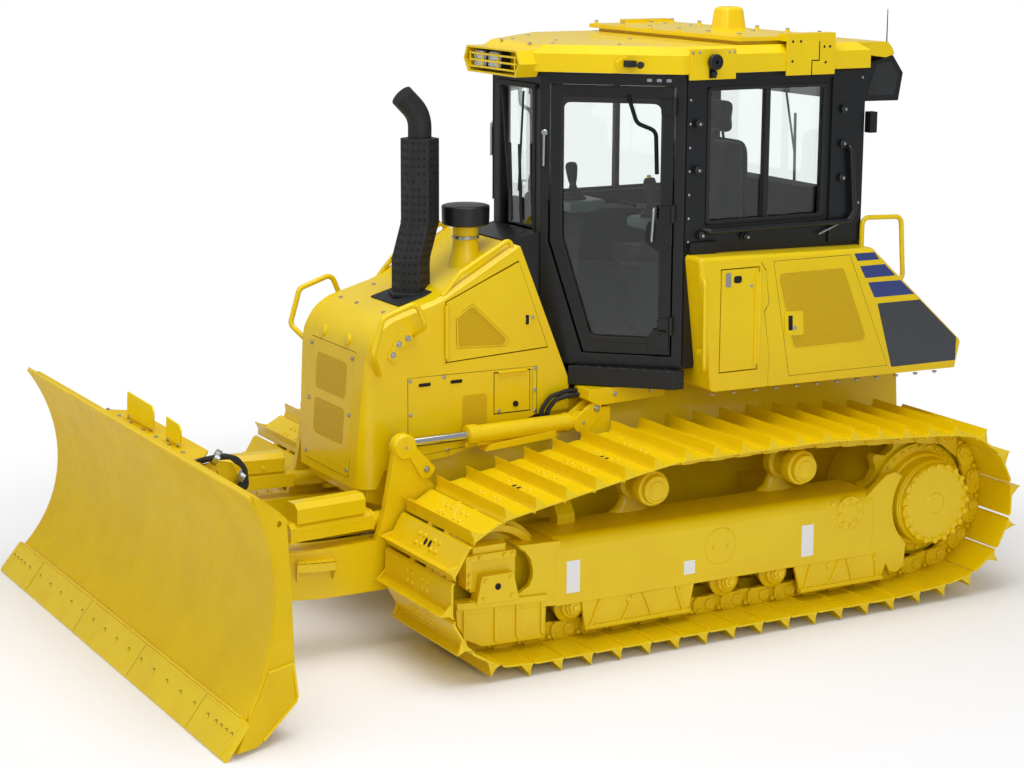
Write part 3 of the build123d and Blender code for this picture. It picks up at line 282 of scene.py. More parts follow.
# Moulded EPDM rubber: seals and hose covers, dull with a soft sheen.
RUBBER = Finish("moulded_rubber", "black_paint", "#17181A", 0.62, pattern=Pattern.GRAIN, pitch=1.6,
                relief=0.05)
# Injection-moulded ABS in the cab, leather-grained.
MOULDED = Finish("grained_abs", "grey_plastic", "#4C6160", 0.5, pattern=Pattern.GRAIN, pitch=3, relief=0.02,
                 shade="#435655", drift=0.5)
DARK_MOULDED = Finish("grained_dark_abs", "grey_plastic", "#0C0F11", 0.7, pattern=Pattern.ORANGE_PEEL,
                      pitch=4, relief=0.02, specular=0.25)
# Woven polyester seat cover: the threads are drawn coarser than life, so that they show.
SEAT_CLOTH = Finish("woven_polyester", "seat_cloth", "#0D0F12", 0.9, pattern=Pattern.WEAVE, pitch=4,
                    relief=0.03, shade="#0F1114", drift=0.6, sheen=0.15)
# Laminated safety glass with a faint green tint.
GLASS = Finish("laminated_glass", "clear_glass", "#FAFEFD", 0.0, transmission=1.0, ior=1.45)
LENS = Finish("moulded_lamp_lens", "lamp_glass", "#F4F7F8", 0.05, transmission=0.75, ior=1.49)
REFLECTOR = Finish("vacuum_coated_reflector", "lamp_glass", "#E4E6E8", 0.12, metallic=1.0,
                   pattern=Pattern.GRAIN, pitch=14, relief=0.6)
# Hard chrome, ground: mirror-like with hairlines round the rod.
CHROME = Finish("ground_hard_chrome", "chrome", "#C9CCD0", 0.12, metallic=1.0, pattern=Pattern.BRUSHED,
                pitch=1.5, relief=0.01)
# Zinc-plated fasteners: pale, slightly clouded metal.
ZINC = Finish("zinc_plate", "chrome", "#B9BDC1", 0.32, metallic=1.0, pattern=Pattern.CAST, pitch=2,
              relief=0.02, shade="#9DA2A6", drift=0.5)
# Perforated sheet under the same enamel: the holes are painted darker as the shade seen through them, a finer
# tone.
MESH_ENAMEL = Finish("perforated_enamelled_sheet", "yellow_paint", "#DDB80C", 0.5, coat=0.1,
                     pattern=Pattern.PERFORATED, pitch=7.5, relief=0.6, shade="#A8860A", specular=0.2)
# The blade's rolled plate under thinner enamel: satin; its colour a shade deeper, as painted shade on the
# blade's face.
SHADED_BLADE_ENAMEL = Finish("enamel_on_rolled_plate", "yellow_paint", "#E2BE04", 0.5, coat=0.08, coat_roughness=0.3,
                      pattern=Pattern.ORANGE_PEEL, pitch=12, relief=0.05, shade="#D8B202", drift=0.6,
                      specular=0.12)
# Sight plates: the same enamel freshly sprayed over bright sheet, lemon to the eye.
SIGHT_ENAMEL = Finish("bright_sight_enamel", "yellow_paint", "#F6E00A", 0.4, coat=0.2,
                      pattern=Pattern.ORANGE_PEEL, pitch=9, relief=0.04, shade="#F0D808", drift=0.4,
                      specular=0.25)
# Perforated black sheet: its holes are painted darker still, as the shade seen through them.
MESH_BLACK = Finish("perforated_black_sheet", "black_paint", "#2A2D30", 0.5, pattern=Pattern.PERFORATED,
                    pitch=9, relief=0.8, shade="#0A0B0C")
STRIPE_BLUE = Finish("blue_vinyl_stripe", "black_paint", "#24397C", 0.3, coat=0.4,
                     pattern=Pattern.ORANGE_PEEL, pitch=12, relief=0.02)
PANEL_BLACK = Finish("black_vinyl_panel", "black_paint", "#33383F", 0.3, coat=0.4,
                     pattern=Pattern.ORANGE_PEEL, pitch=12, relief=0.02)
PALE_LABEL = Finish("blank_polyester_label", "clear_glass", "#E9ECEE", 0.35, pattern=Pattern.ORANGE_PEEL,
                    pitch=8, relief=0.01)
IRON = Finish("painted_cast_iron", "engine_iron", "#1C1D1F", 0.6, pattern=Pattern.CAST, pitch=6, relief=0.4,
              shade="#141516", drift=0.6)


# ---------------------------------------------------------------- shapes
class Shape:
    """A mesh that grows by solids given in millimetres."""

    def __init__(self) -> None:
        """Start empty."""
        self.bm = bmesh.new()

    def faces(self, points: Iterable[Point], faces: Iterable[Sequence[int]]) -> "Shape":
        """Add vertices and the faces between them.

        Args:
            points: the vertices.
            faces: each face's vertices, by number.
        Returns:
            This shape.
        """
        verts = [self.bm.verts.new(p) for p in points]
        for face in faces:
            self.bm.faces.new([verts[i] for i in face])
        return self

    def loft(self, rings: Sequence[Sequence[Point]], closed: bool = False) -> "Shape":
        """Skin a row of rings with the same number of points, and cap the ends.

        Args:
            rings: the rings in order.
            closed: join the last ring to the first instead of capping.
        Returns:
            This shape.
        """
        count, size = len(rings), len(rings[0])
        faces = [[r * size + i, r * size + (i + 1) % size, (r + 1) % count * size + (i + 1) % size,
                  (r + 1) % count * size + i] for r in range(count if closed else count - 1)
                 for i in range(size)]
        if not closed:
            faces += [list(range(size))[::-1], [(count - 1) * size + i for i in range(size)]]
        return self.faces([p for ring in rings for p in ring], faces)

    def prism(self, outline: Sequence[Flat], axis: str, a: float, b: float) -> "Shape":
        """Add a prism of a flat outline between two stations of an axis.

        Args:
            outline: points on the plane across the axis: (y, z) for x, (x, z) for y, (x, y) for z.
            axis: "x", "y" or "z".
            a: the first station.
            b: the second station.
        Returns:
            This shape.
        """
        place = {"x": lambda s, p: (s, p[0], p[1]), "y": lambda s, p: (p[0], s, p[1]),
                 "z": lambda s, p: (p[0], p[1], s)}[axis]
        return self.loft([[place(s, p) for p in outline] for s in (a, b)])

    def box(self, x: Flat, y: Flat, z: Flat) -> "Shape":
        """Add a box from its ranges."""
        return self.prism([(x[0], y[0]), (x[1], y[0]), (x[1], y[1]), (x[0], y[1])], "z", z[0], z[1])

    def turned(self, origin: Point, way: Point, profile: Sequence[Flat], steps: int = 24) -> "Shape":
        """Add a solid of revolution.

        Args:
            origin: a point on the axis.
            way: the axis direction.
            profile: (distance along the axis, radius) pairs.
            steps: points round a ring.
        Returns:
            This shape.
        """
        start, unit = Vector(origin), Vector(way).normalized()
        side = unit.orthogonal().normalized()
        other = unit.cross(side)
        rings = [[start + unit * s + (side * math.cos(t) + other * math.sin(t)) * max(r, TIP)
                  for t in (2 * math.pi * k / steps for k in range(steps))] for s, r in profile]
        return self.loft(rings)

    def rod(self, a: Point, b: Point, radius: float, steps: int = 16) -> "Shape":
        """Add a round bar between two points."""
        way = Vector(b) - Vector(a)
        return self.turned(a, way, [(0, radius), (way.length, radius)], steps)

    def bolt(self, at: Point, way: Point, size: float = 14.0) -> "Shape":
        """Add a hexagon-headed bolt on a washer, with a domed chamfer.

        Args:
            at: the point on the surface.
            way: out of the surface.
            size: thread diameter.
        Returns:
            This shape.
        """
        self.turned(at, way, [(-1, size * 1.05), (size * 0.14, size * 1.05), (size * 0.15, size * 0.85)], 12)
        return self.turned(at, way, [(size * 0.1, size * 0.88), (size * 0.62, size * 0.88),
                                     (size * 0.74, size * 0.7)], 6)

    def bolts(self, places: Iterable[Point], way: Point, size: float = 14.0) -> "Shape":
        """Add a row of like bolts.

        Args:
            places: a point on the surface for each.
            way: out of the surface.
            size: thread diameter.
        Returns:
            This shape.
        """
        for at in places:
            self.bolt(at, way, size)
        return self

    def tube(self, points: Sequence[Point], radius: float, bend: float, steps: int = 12) -> "Shape":
        """Add a bent tube with rounded corners.

        Args:
            points: the corners of its middle line.
            radius: of the tube.
            bend: radius of the middle line at a corner.
            steps: points round a ring.
        Returns:
            This shape.
        """
        path = rounded([Vector(p) for p in points], bend)
        return self.sweep(path, radius, steps)

    def sweep(self, path: Sequence[Vector], radius: float, steps: int = 12) -> "Shape":
        """Add a tube along a path of many points.

        Args:
            path: its middle line.
            radius: of the tube.
            steps: points round a ring.
        Returns:
            This shape.
        """
        normal = (path[1] - path[0]).orthogonal().normalized()
        rings = []
        for i, point in enumerate(path):
            way = (path[min(i + 1, len(path) - 1)] - path[max(i - 1, 0)]).normalized()
            normal = (normal - way * normal.dot(way)).normalized()
            other = way.cross(normal)
            rings.append([point + (normal * math.cos(t) + other * math.sin(t)) * radius
                          for t in (2 * math.pi * k / steps for k in range(steps))])
        return self.loft(rings)

    def merge(self, other: "Shape", place: Matrix = Matrix.Identity(4)) -> "Shape":
        """Add a copy of another shape.

        Args:
            other: what to copy.
            place: its matrix in millimetres.
        Returns:
            This shape.
        """
        verts = {v: self.bm.verts.new(place @ v.co) for v in other.bm.verts}
        flip = place.to_3x3().determinant() < 0
        for face in other.bm.faces:
            loop = [verts[v] for v in face.verts]
            self.bm.faces.new(loop[::-1] if flip else loop)
        return self

    def both_sides(self) -> "Shape":
        """Add the mirror image on the other side of the machine."""
        return self.merge(Shape().merge(self), MIRROR)

    def on_side(self, side: int) -> "Shape":
        """Return a copy for one side: the left one as it is, the right one mirrored."""
        return Shape().merge(self, Matrix.Scale(side, 4, X))

    def add_sides(self, part: "Shape") -> "Shape":
        """Add a left-hand part and its mirror image."""
        return self.merge(part).merge(part, MIRROR)

    def cut(self, tool: "Shape") -> "Shape":
        """Take another shape out of this one.

        Args:
            tool: the solid to take away.
        Returns:
            This shape.
        """
        pair = [stored("cut_part", self), stored("cut_tool", tool)]
        modifier = pair[0].modifiers.new("cut", "BOOLEAN")
        modifier.operation, modifier.object, modifier.solver = "DIFFERENCE", pair[1], "EXACT"
        mesh = bpy.data.meshes.new_from_object(pair[0].evaluated_get(bpy.context.evaluated_depsgraph_get()))
        self.bm.free()
        self.bm = bmesh.new()
        self.bm.from_mesh(mesh)
        bmesh.ops.scale(self.bm, vec=(1 / MM,) * 3, verts=self.bm.verts)
        for item in pair:
            bpy.data.objects.remove(item)
        bpy.data.meshes.remove(mesh)
        return self


def circle(count: int, radius: float = 1.0, middle: Flat = (0.0, 0.0), share: float = 0.0) -> list[Flat]:
    """Return points evenly round a circle.

    Args:
        count: how many points.
        radius: of the circle.
        middle: its centre.
        share: how far the first point is turned on, in shares of the spacing.
    Returns:
        The points.
    """
    turns = [2 * math.pi * (k + share) / count for k in range(count)]
    return [(middle[0] + radius * math.cos(t), middle[1] + radius * math.sin(t)) for t in turns]


def rounded(points: Sequence[Vector], bend: float, steps: int = 6) -> list[Vector]:
    """Round the corners of a run of straight pieces.

    Args:
        points: the corners.
        bend: radius wanted at each corner.
        steps: pieces of each arc.
    Returns:
        The points of the rounded path.
    """
    path = [points[0]]
    for before, corner, after in zip(points, points[1:], points[2:]):
        a, b = (before - corner), (after - corner)
        angle = a.angle(b)
        reach = min(bend / math.tan(angle / 2), a.length * 0.48, b.length * 0.48)
        start, end = corner + a.normalized() * reach, corner + b.normalized() * reach
        for k in range(steps + 1):
            t = k / steps
            path.append(start * (1 - t) ** 2 + corner * 2 * t * (1 - t) + end * t * t)
    return path + [points[-1]]


def round_corners(outline: Sequence[Flat], radius: float, steps: int = 5) -> list[Flat]:
    """Round every corner of a flat outline.

    Args:
        outline: its corners.
        radius: wanted at each.
        steps: pieces of each arc.
    Returns:
        The rounded outline.
    """
    made, count = [], len(outline)
    for i, corner in enumerate(outline):
        here = Vector(corner)
        a, b = Vector(outline[i - 1]) - here, Vector(outline[(i + 1) % count]) - here
        reach = min(radius / math.tan(a.angle(b) / 2), a.length * 0.45, b.length * 0.45)
        start, end = here + a.normalized() * reach, here + b.normalized() * reach
        for k in range(steps + 1):
            t = k / steps
            made.append(tuple(start * (1 - t) ** 2 + here * 2 * t * (1 - t) + end * t * t))
    return made


def frame_line(shape: Shape, outline: Sequence[Flat], x: float, width: float, depth: float = 3.0) -> Shape:
    """Add a thin band along a closed (y, z) outline, facing sideways.

    Args:
        shape: the shape to add to.
        outline: the corners.
        x: its outer face.
        width: of the band.
        depth: its thickness.
    Returns:
        The shape.
    """
    middle = sum((Vector(p) for p in outline), Vector((0, 0))) / len(outline)
    inner = []
    for p in outline:
        way = Vector(p) - middle
        inner.append(tuple(Vector(p) - way.normalized() * width))
    rings = [[(x - depth, *p) for p in outline], [(x, *p) for p in outline], [(x, *p) for p in inner],
             [(x - depth, *p) for p in inner]]
    return shape.loft(rings, closed=True)


def stored(name: str, shape: Shape) -> bpy.types.Object:
    """Store a shape as an object in metres.

    Args:
        name: of the object.
        shape: what to store.
    Returns:
        The object.
    """
    mesh = bpy.data.meshes.new(name)
    bmesh.ops.recalc_face_normals(shape.bm, faces=shape.bm.faces)
    shape.bm.to_mesh(mesh)
    mesh.transform(Matrix.Scale(MM, 4))
    made = bpy.data.objects.new(name, mesh)
    bpy.context.scene.collection.objects.link(made)
    return made


def finish_piece(piece: bpy.types.Object, finish: Finish, body: str, edge: float,
                 replaces: Sequence[str]) -> None:
    """Give a piece its rounded edges, finish and body.

    Args:
        piece: the object.
        finish: its finish.
        body: the CAD body that it rides on.
        edge: width of the rounded edges in millimetres, 0 for none.
        replaces: the CAD nodes that it stands for.
    """
    piece.data.materials.clear()
    piece.data.materials.append(finish.material())
    piece.data.shade_smooth()
    if edge:
        bevel = piece.modifiers.new("edges", "BEVEL")
        bevel.width, bevel.segments, bevel.limit_method = edge * MM, 2, "ANGLE"
        bevel.angle_limit = EDGE_ANGLE
    else:
        piece.data.set_sharp_from_angle(angle=EDGE_ANGLE)
    weights = piece.modifiers.new("flat_faces", "WEIGHTED_NORMAL")
    weights.keep_sharp = True
    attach(piece, body)
    if replaces:
        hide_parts(*replaces)
    log.info("%s in %s on %s, %d faces", piece.name, finish.name, body, len(piece.data.polygons))


def keep(name: str, shape: Shape, finish: Finish, body: str = "chassis", edge: float = 1.5,
         replaces: Sequence[str] = ()) -> bpy.types.Object:
    """Store a shape as a piece of the machine.

    Args:
        name: of the piece.
        shape: what to store.
        finish: its finish.
        body: the CAD body that it rides on.
        edge: width of the rounded edges in millimetres, 0 for none.
        replaces: the CAD nodes that it stands for.
    Returns:
        The piece.
    """
    piece = stored(name, shape)
    finish_piece(piece, finish, body, edge, replaces)
    return piece


def softened(node: str, finish: Finish, edge: float = 3.0) -> bpy.types.Object:
    """Stand a copy with rounded edges in for a CAD node.

    Args:
        node: the CAD node.
        finish: its finish.
        edge: width of the rounded edges in millimetres, 0 for none.
    Returns:
        The piece.
    """
    source = frame["nodes"][node]
    bm = bmesh.new()
    bm.from_mesh(source.data)
    bmesh.ops.remove_doubles(bm, verts=bm.verts, dist=WELD)
    bmesh.ops.dissolve_limit(bm, angle_limit=FLAT_ANGLE, verts=bm.verts, edges=bm.edges)
    mesh = bpy.data.meshes.new(node + "_finished")
    bm.to_mesh(mesh)
    piece = bpy.data.objects.new(node + "_finished", mesh)
    bpy.context.scene.collection.objects.link(piece)
    finish_piece(piece, finish, source["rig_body"], edge, [node])
    return piece


# ---------------------------------------------------------------- plain CAD pieces
@dataclass
class RoundedCopies:
    """CAD pieces whose shape is right, given rounded edges and their finish."""
    sheet_edge: float = 4.0
    sheet: Sequence[str] = ("hood", "rear_body", "engine_door_left", "engine_door_right", "service_flap",
                            "access_door_left", "access_door_right", "rear_grille", "cab_roof",
                            "blade_frame", "blade_yoke", "main_frame",
                            "hood_handrail_left", "hood_handrail_right", "rear_handrails", "drawbar",
                            "angle_barrel_left", "angle_barrel_right", "tilt_barrel")
    black: Sequence[str] = ("cab_frame", "cab_door_left", "cab_door_right", "side_step_left",
                            "side_step_right")

    def build(self) -> None:
        """Copy and finish each group."""
        for name in self.sheet:
            softened(name, ENAMEL, self.sheet_edge)
        for name in self.black:
            softened(name, POWDER, self.sheet_edge)
        softened("blade", SHADED_BLADE_ENAMEL, 3.0)
        softened("cutting_edge", EDGE_ENAMEL, 2.0)
        softened("engine", IRON, 6.0)
        for name in ("angle_rod_left", "angle_rod_right", "tilt_rod",
                     "angle_cross_left", "angle_cross_right"):
            softened(name, CHROME, 1.0)
        for name in ("cab_glass", "door_glass_left", "door_glass_right"):
            softened(name, GLASS, 0.0)


# ---------------------------------------------------------------- undercarriage
@dataclass
class Undercarriage:
    """Both tracks with their links, wheels, frames and guards."""
    gauge: float = 1880.0
    shoe_half: float = 355.0
    shoes: int = 44
    idler: Flat = (-727.0, 434.0, 319.0)       # wheels: (y, z, radius on which the pins run)
    bottom: Flat = (1547.0, 240.0, 121.0)
    sprocket: Flat = (1917.0, 504.0, 355.0)
    carriers: Sequence[Flat] = ((1095.0, 775.0, 143.0), (180.0, 775.0, 143.0))
    rollers: Sequence[float] = (-304.0, 4.5, 313.0, 621.5, 930.0, 1238.5, 1547.0)
    roller_z: float = 240.0
    frame_in: float = 760.0
    frame_out: float = 1120.0
    slot_every: int = 3                        # mud slots show on one shoe in three
    teeth: int = 13
    cover_bolts: int = 20
    ring_bolts: int = 30
    pins: list = field(default_factory=list)

    @property
    def middle(self) -> float:
        """Sideways place of the left track's middle."""
        return self.gauge / 2

    def find_pins(self) -> None:
        """Walk round the wheels and note each pin's place."""
        wheels = [self.idler, self.bottom, self.sprocket, *self.carriers]
        tangents = []
        for (y1, z1, r1), (y2, z2, r2) in zip(wheels, wheels[1:] + wheels[:1]):
            dy, dz = y2 - y1, z2 - z1
            gap = math.hypot(dy, dz)
            lean = (r1 - r2) / gap
            side = math.sqrt(1 - lean * lean)
            n = (dy / gap * lean + dz / gap * side, dz / gap * lean - dy / gap * side)
            tangents.append(((y1 + r1 * n[0], z1 + r1 * n[1]), (y2 + r2 * n[0], z2 + r2 * n[1]),
                             math.atan2(n[1], n[0])))
        legs = []
        for i, (a, b, normal) in enumerate(tangents):
            wheel = wheels[(i + 1) % len(wheels)]
            turn = (tangents[(i + 1) % len(wheels)][2] - normal) % (2 * math.pi)
            legs += [(math.dist(a, b), a, b, None, 0.0), (wheel[2] * turn, wheel, None, normal, turn)]
        pitch = sum(leg[0] for leg in legs) / self.shoes
        for k in range(self.shoes):
            station = (k + 0.5) * pitch
            for length, a, b, normal, turn in legs:
                if station <= length:
                    break
                station -= length
            share = station / length
            if normal is None:
                self.pins.append((a[0] + share * (b[0] - a[0]), a[1] + share * (b[1] - a[1])))
            else:
                angle = normal + turn * share
                self.pins.append((a[0] + a[2] * math.cos(angle), a[1] + a[2] * math.sin(angle)))

    def stations(self) -> list[Matrix]:
        """Work out the frame of each shoe at its first pin: x across, y along the chain, z outward.

        Returns:
            A matrix for each shoe.
        """
        frames = []
        for (y1, z1), (y2, z2) in zip(self.pins, self.pins[1:] + self.pins[:1]):
            along = Vector((0, y2 - y1, z2 - z1)).normalized()
            out = Vector((0, -along.z, along.y)) * -1
            across = along.cross(out)
            turn = Matrix((across, along, out)).transposed().to_4x4()
            frames.append(Matrix.Translation((self.middle, y1, z1)) @ turn)
        return frames

    def shoe(self, pitch: float) -> Shape:
        """Return one shoe: a plate with curled lips and one grouser with end gussets.

        Args:
            pitch: distance between pins.
        Returns:
            The shoe at its first pin.
        """
        shape = Shape()
        w, p = self.shoe_half, pitch
        top = [(-0.03, 44), (0.02, 54), (0.07, 58), (0.80, 58), (0.845, 62), (0.872, 75), (0.885, 113),
               (0.915, 115), (0.93, 76), (0.95, 62), (0.985, 56), (1.03, 42)]
        under = [(1.02, 34), (0.97, 46), (0.80, 47), (0.07, 47), (0.03, 44), (-0.01, 36)]
        shape.prism([(u * p, v) for u, v in top + under], "x", -w, w)
        for side in (-1, 1):
            a, b = sorted((side * (w - 16), side * (w - 2)))
            shape.prism([(0.60 * p, 57), (0.88 * p, 57), (0.88 * p, 104)], "x", a, b)
            for x in (52, 104):
                for u in (0.30, 0.58):
                    shape.turned((side * x, u * p, 57), Z, [(0, 14), (4, 13), (8, 9), (9.5, 3)], 10)
        return shape

    def link(self, pitch: float) -> Shape:
        """Return the pair of chain links under one shoe.

        Args:
            pitch: distance between pins.
        Returns:
            The links at the shoe's first pin.
        """
        shape, p = Shape(), pitch
        for side in (-1, 1):
            for start, end, off in ((-0.22, 0.62, 0.0), (0.42, 1.2, 15.0)):
                a, b = sorted((side * (64 + off), side * (88 + off)))
                outline = [(start * p, -20), (start * p + 22, -44), (end * p - 22, -44), (end * p, -20),
                           (end * p, 22), (end * p - 18, 46), (start * p + 18, 46), (start * p, 22)]
                shape.prism(outline, "x", a, b)
            shape.turned((side * 60, 0, 0), (side, 0, 0), [(0, 30), (52, 30), (54, 26), (54, 16), (50, 15)],
                         16)
            for u in (0.33, 0.62):
                shape.turned((side * 96, u * p, 26), (side, 0, 0), [(0, 13), (13, 13), (15, 10)], 6)
        return shape

    def slots(self, pitch: float) -> Shape:
        """Return the two mud slots of one shoe, drawn as thin discs painted near black as the shade inside
        them.

        Args:
            pitch: distance between pins.
        Returns:
            The slots at the shoe's first pin.
        """
        shape = Shape()
        for side in (-1, 1):
            ring = [(side * 22 + 13 * c, 0.44 * pitch + 20 * s) for c, s in circle(14)]
            shape.prism(ring, "z", 55, 58.7)
        return shape

    def tracks(self) -> None:
        """Build shoes, links and mud slots round both sides."""
        places = self.stations()
        pitch = math.dist(self.pins[0], self.pins[1])
        shoe, link, slots = self.shoe(pitch), self.link(pitch), self.slots(pitch)
        for side, mirror in (("left", Matrix.Identity(4)), ("right", MIRROR)):
            shoes, links, holes = Shape(), Shape(), Shape()
            for number, place in enumerate(places):
                shoes.merge(shoe, mirror @ place)
                links.merge(link, mirror @ place)
                if number % self.slot_every == 0:
                    holes.merge(slots, mirror @ place)
            keep(f"track_shoes_{side}", shoes, ENAMEL, edge=1.8, replaces=[f"track_{side}"])
            keep(f"track_links_{side}", links, CAST_ENAMEL, edge=2.0, replaces=[f"track_{side}"])
            keep(f"track_slots_{side}", holes, SHADE_BLACK, edge=0)

    def wheels(self) -> None:
        """Build idlers, rollers, sprockets and final drives on both sides."""
        m = self.middle
        rims, teeth, hubs, bolts = Shape(), Shape(), Shape(), Shape()
        iy, iz, _ = self.idler
        tread = 268.0
        rims.turned((0, iy, iz), X, [(m - 118, 66), (m - 84, 74), (m - 44, 118), (m - 36, tread - 52),
                                     (m - 100, tread - 34), (m - 104, tread), (m - 59, tread),
                                     (m - 52, tread + 24), (m + 52, tread + 24), (m + 59, tread),
                                     (m + 104, tread), (m + 100, tread - 34), (m + 36, tread - 52),
                                     (m + 44, 118), (m + 84, 74), (m + 118, 66)], 64)
        for y in self.rollers:
            rims.turned((0, y, self.roller_z), X, [(m - 158, 34), (m - 140, 62), (m - 118, 78), (m - 108, 90),
                                                   (m - 106, 76), (m - 52, 75), (m - 46, 60), (m + 46, 60),
                                                   (m + 52, 75), (m + 106, 76), (m + 108, 90), (m + 118, 78),
                                                   (m + 126, 66), (m + 142, 60), (m + 146, 46), (m + 158, 44),
                                                   (m + 160, 30)], 32)
            bolts.turned((m + 146, y, self.roller_z), X, [(0, 36), (22, 36), (26, 30)], 6)
            bolts.turned((m + 168, y, self.roller_z), X, [(0, 18), (12, 18), (15, 13)], 6)
        for y, z, _ in self.carriers:
            rims.turned((0, y, z), X, [(800, 40), (815, 44), (822, 84), (832, 92), (884, 92), (890, 70),
                                       (986, 70), (992, 92), (1040, 92), (1052, 88), (1056, 76), (1078, 74),
                                       (1084, 70), (1085, 60), (1081, 58), (1081, 44), (1086, 42),
                                       (1087, 8)], 40)
        sy, sz, _ = self.sprocket
        ring = []
        for k in range(self.teeth):
            for share, radius in ((-0.5, 322), (-0.3, 326), (-0.17, 352), (-0.09, 378), (-0.05, 381),
                                  (0.05, 381), (0.09, 378), (0.17, 352), (0.3, 326)):
                angle = (k + share) * 2 * math.pi / self.teeth
                ring.append((sy + radius * math.cos(angle), sz + radius * math.sin(angle)))
        teeth.prism(ring, "x", m - 27, m + 27)
        teeth.cut(Shape().turned((m - 60, sy, sz), X, [(0, 255), (120, 255)], 48))
        hubs.turned((0, sy, sz), X, [(500, 248), (560, 286), (700, 286), (756, 262), (m - 62, 256),
                                     (m - 58, 300), (m - 28, 300), (m - 26, 262), (m + 30, 262),
                                     (m + 32, 302), (m + 52, 302), (m + 56, 290), (m + 62, 258),
                                     (m + 96, 250), (m + 102, 236), (1106, 230), (1112, 224), (1118, 224),
                                     (1122, 218), (1142, 216), (1149, 208), (1149, 198), (1143, 194),
                                     (1143, 60), (1149, 52), (1149, 20)], 64)
        for y, z in circle(self.cover_bolts, 206, (sy, sz)):
            bolts.turned((1136, y, z), X, [(0, 17), (24, 17), (28, 13)], 6)
        for y, z in circle(self.ring_bolts, 280, (sy, sz), 0.5):
            bolts.turned((m + 50, y, z), X, [(0, 13), (14, 13), (18, 9)], 8)
        for name, shape, finish, stands in (("wheel_rims", rims, CAST_ENAMEL, ("track_rollers", "idler")),
                                            ("sprocket_rings", teeth, CAST_ENAMEL, ("sprocket",)),
                                            ("drive_hubs", hubs, ENAMEL, ("final_drive",)),
                                            ("wheel_bolts", bolts, ENAMEL, ())):
            nodes = [f"{node}_{side}" for node in stands for side in ("left", "right")]
            keep(name, shape.both_sides(), finish, edge=1.6, replaces=nodes)

    def frames(self) -> None:
        """Build the box frames with their idler yokes, guards, pedestals and rear cheeks."""
        a, b, top = self.frame_in, self.frame_out, 612.0
        r, shape = 62.0, Shape()
        arc = [(b - r + r * math.sin(t), top - r + r * math.cos(t))
               for t in (math.pi / 2 * k / 6 for k in range(7))]
        left = [(a + b - x, z) for x, z in reversed(arc)]
        shape.prism([(a, 268)] + left + arc + [(b, 268), (b - 18, 262), (a + 18, 262)], "y", -425, 1520)
        cheek = [(-400, 600), (-640, 606), (-600, 575), (-566, 530), (-552, 480), (-553, 432), (-574, 392),
                 (-625, 366), (-900, 366), (-940, 350), (-946, 300), (-478, 276), (-400, 270)]
        for x0, x1 in ((a, a + 34), (b - 34, b - 2)):
            shape.prism(cheek, "x", x0, x1)
        shape.prism([(-400, 596), (-640, 606), (-590, 560), (-400, 560)], "x", a + 20, b - 20)
        # rear cheek, hollowed round the drive
        sy, sz, _ = self.sprocket
        hollow = [(sy + 262 * math.cos(t), sz + 262 * math.sin(t))
                  for t in (math.radians(d) for d in range(140, 232, 7))]
        upper = [(1480, 590), (1540, 640), (1610, 690), (1660, 700)]
        lower = [(1745, 170), (1700, 142), (1650, 150), (1590, 262), (1480, 268)]
        shape.prism(upper + hollow + lower, "x", b - 46, b - 8)
        # castings that guard the rollers, with diagonal ribs
        for y0, y1, y2, y3 in ((-270, 395, 365, -250), (1020, 1655, 1590, 1060)):
            shape.prism([(y0, 270), (y1, 270), (y2, 128), (y3, 128)], "x", b - 26, b - 6)
            shape.prism([(y3 - 6, 120), (y2 + 6, 120), (y2 + 2, 142), (y3 - 2, 142)], "x", b - 30, b + 8)
            for share in (0.04, 0.34, 0.64, 0.94):
                foot, head = y3 + share * (y2 - y3), y0 + (share * 0.98 + 0.01) * (y1 - y0)
                lean = 70 if share < 0.5 else -70
                shape.prism([(foot - 7, 130), (foot + 7, 130), (head + lean + 7, 268),
                             (head + lean - 7, 268)], "x", b - 12, b + 6)
        shape.prism([(-978, 368), (-968, 250), (-915, 168), (-830, 124), (-480, 116), (-474, 345)], "x",
                    b - 60, b - 4)
        shape.prism([(-980, 366), (-976, 330), (-474, 306), (-474, 342)], "x", b - 60, b + 14)
        for y in (-930, -760, -640, -500):
            shape.prism([(y - 9, 150), (y + 9, 130), (y + 9, 330), (y - 9, 330)], "x", b - 20, b + 8)
        # idler bearing: block, cap and side plate
        shape.prism([(-877, 345), (-846, 486), (-672, 486), (-640, 345)], "x", b - 50, b + 22)
        shape.prism([(-890, 400), (-890, 566), (-640, 560), (-640, 400)], "x", b - 100, b - 22)
        shape.box((b - 90, b + 4), (-915, -650), (556, 592)).box((b - 70, b + 10), (-928, -892), (430, 590))
        shape.box((b - 80, b - 10), (-880, -700), (590, 628))
        for y, _, _ in self.carriers:
            shape.loft([[(812 + rx * c, y + ry * s, z) for c, s in circle(24)] for rx, ry, z in (
                (50, 128, 596), (48, 112, 616), (40, 74, 640), (34, 52, 680), (34, 48, 740), (34, 46, 790))])
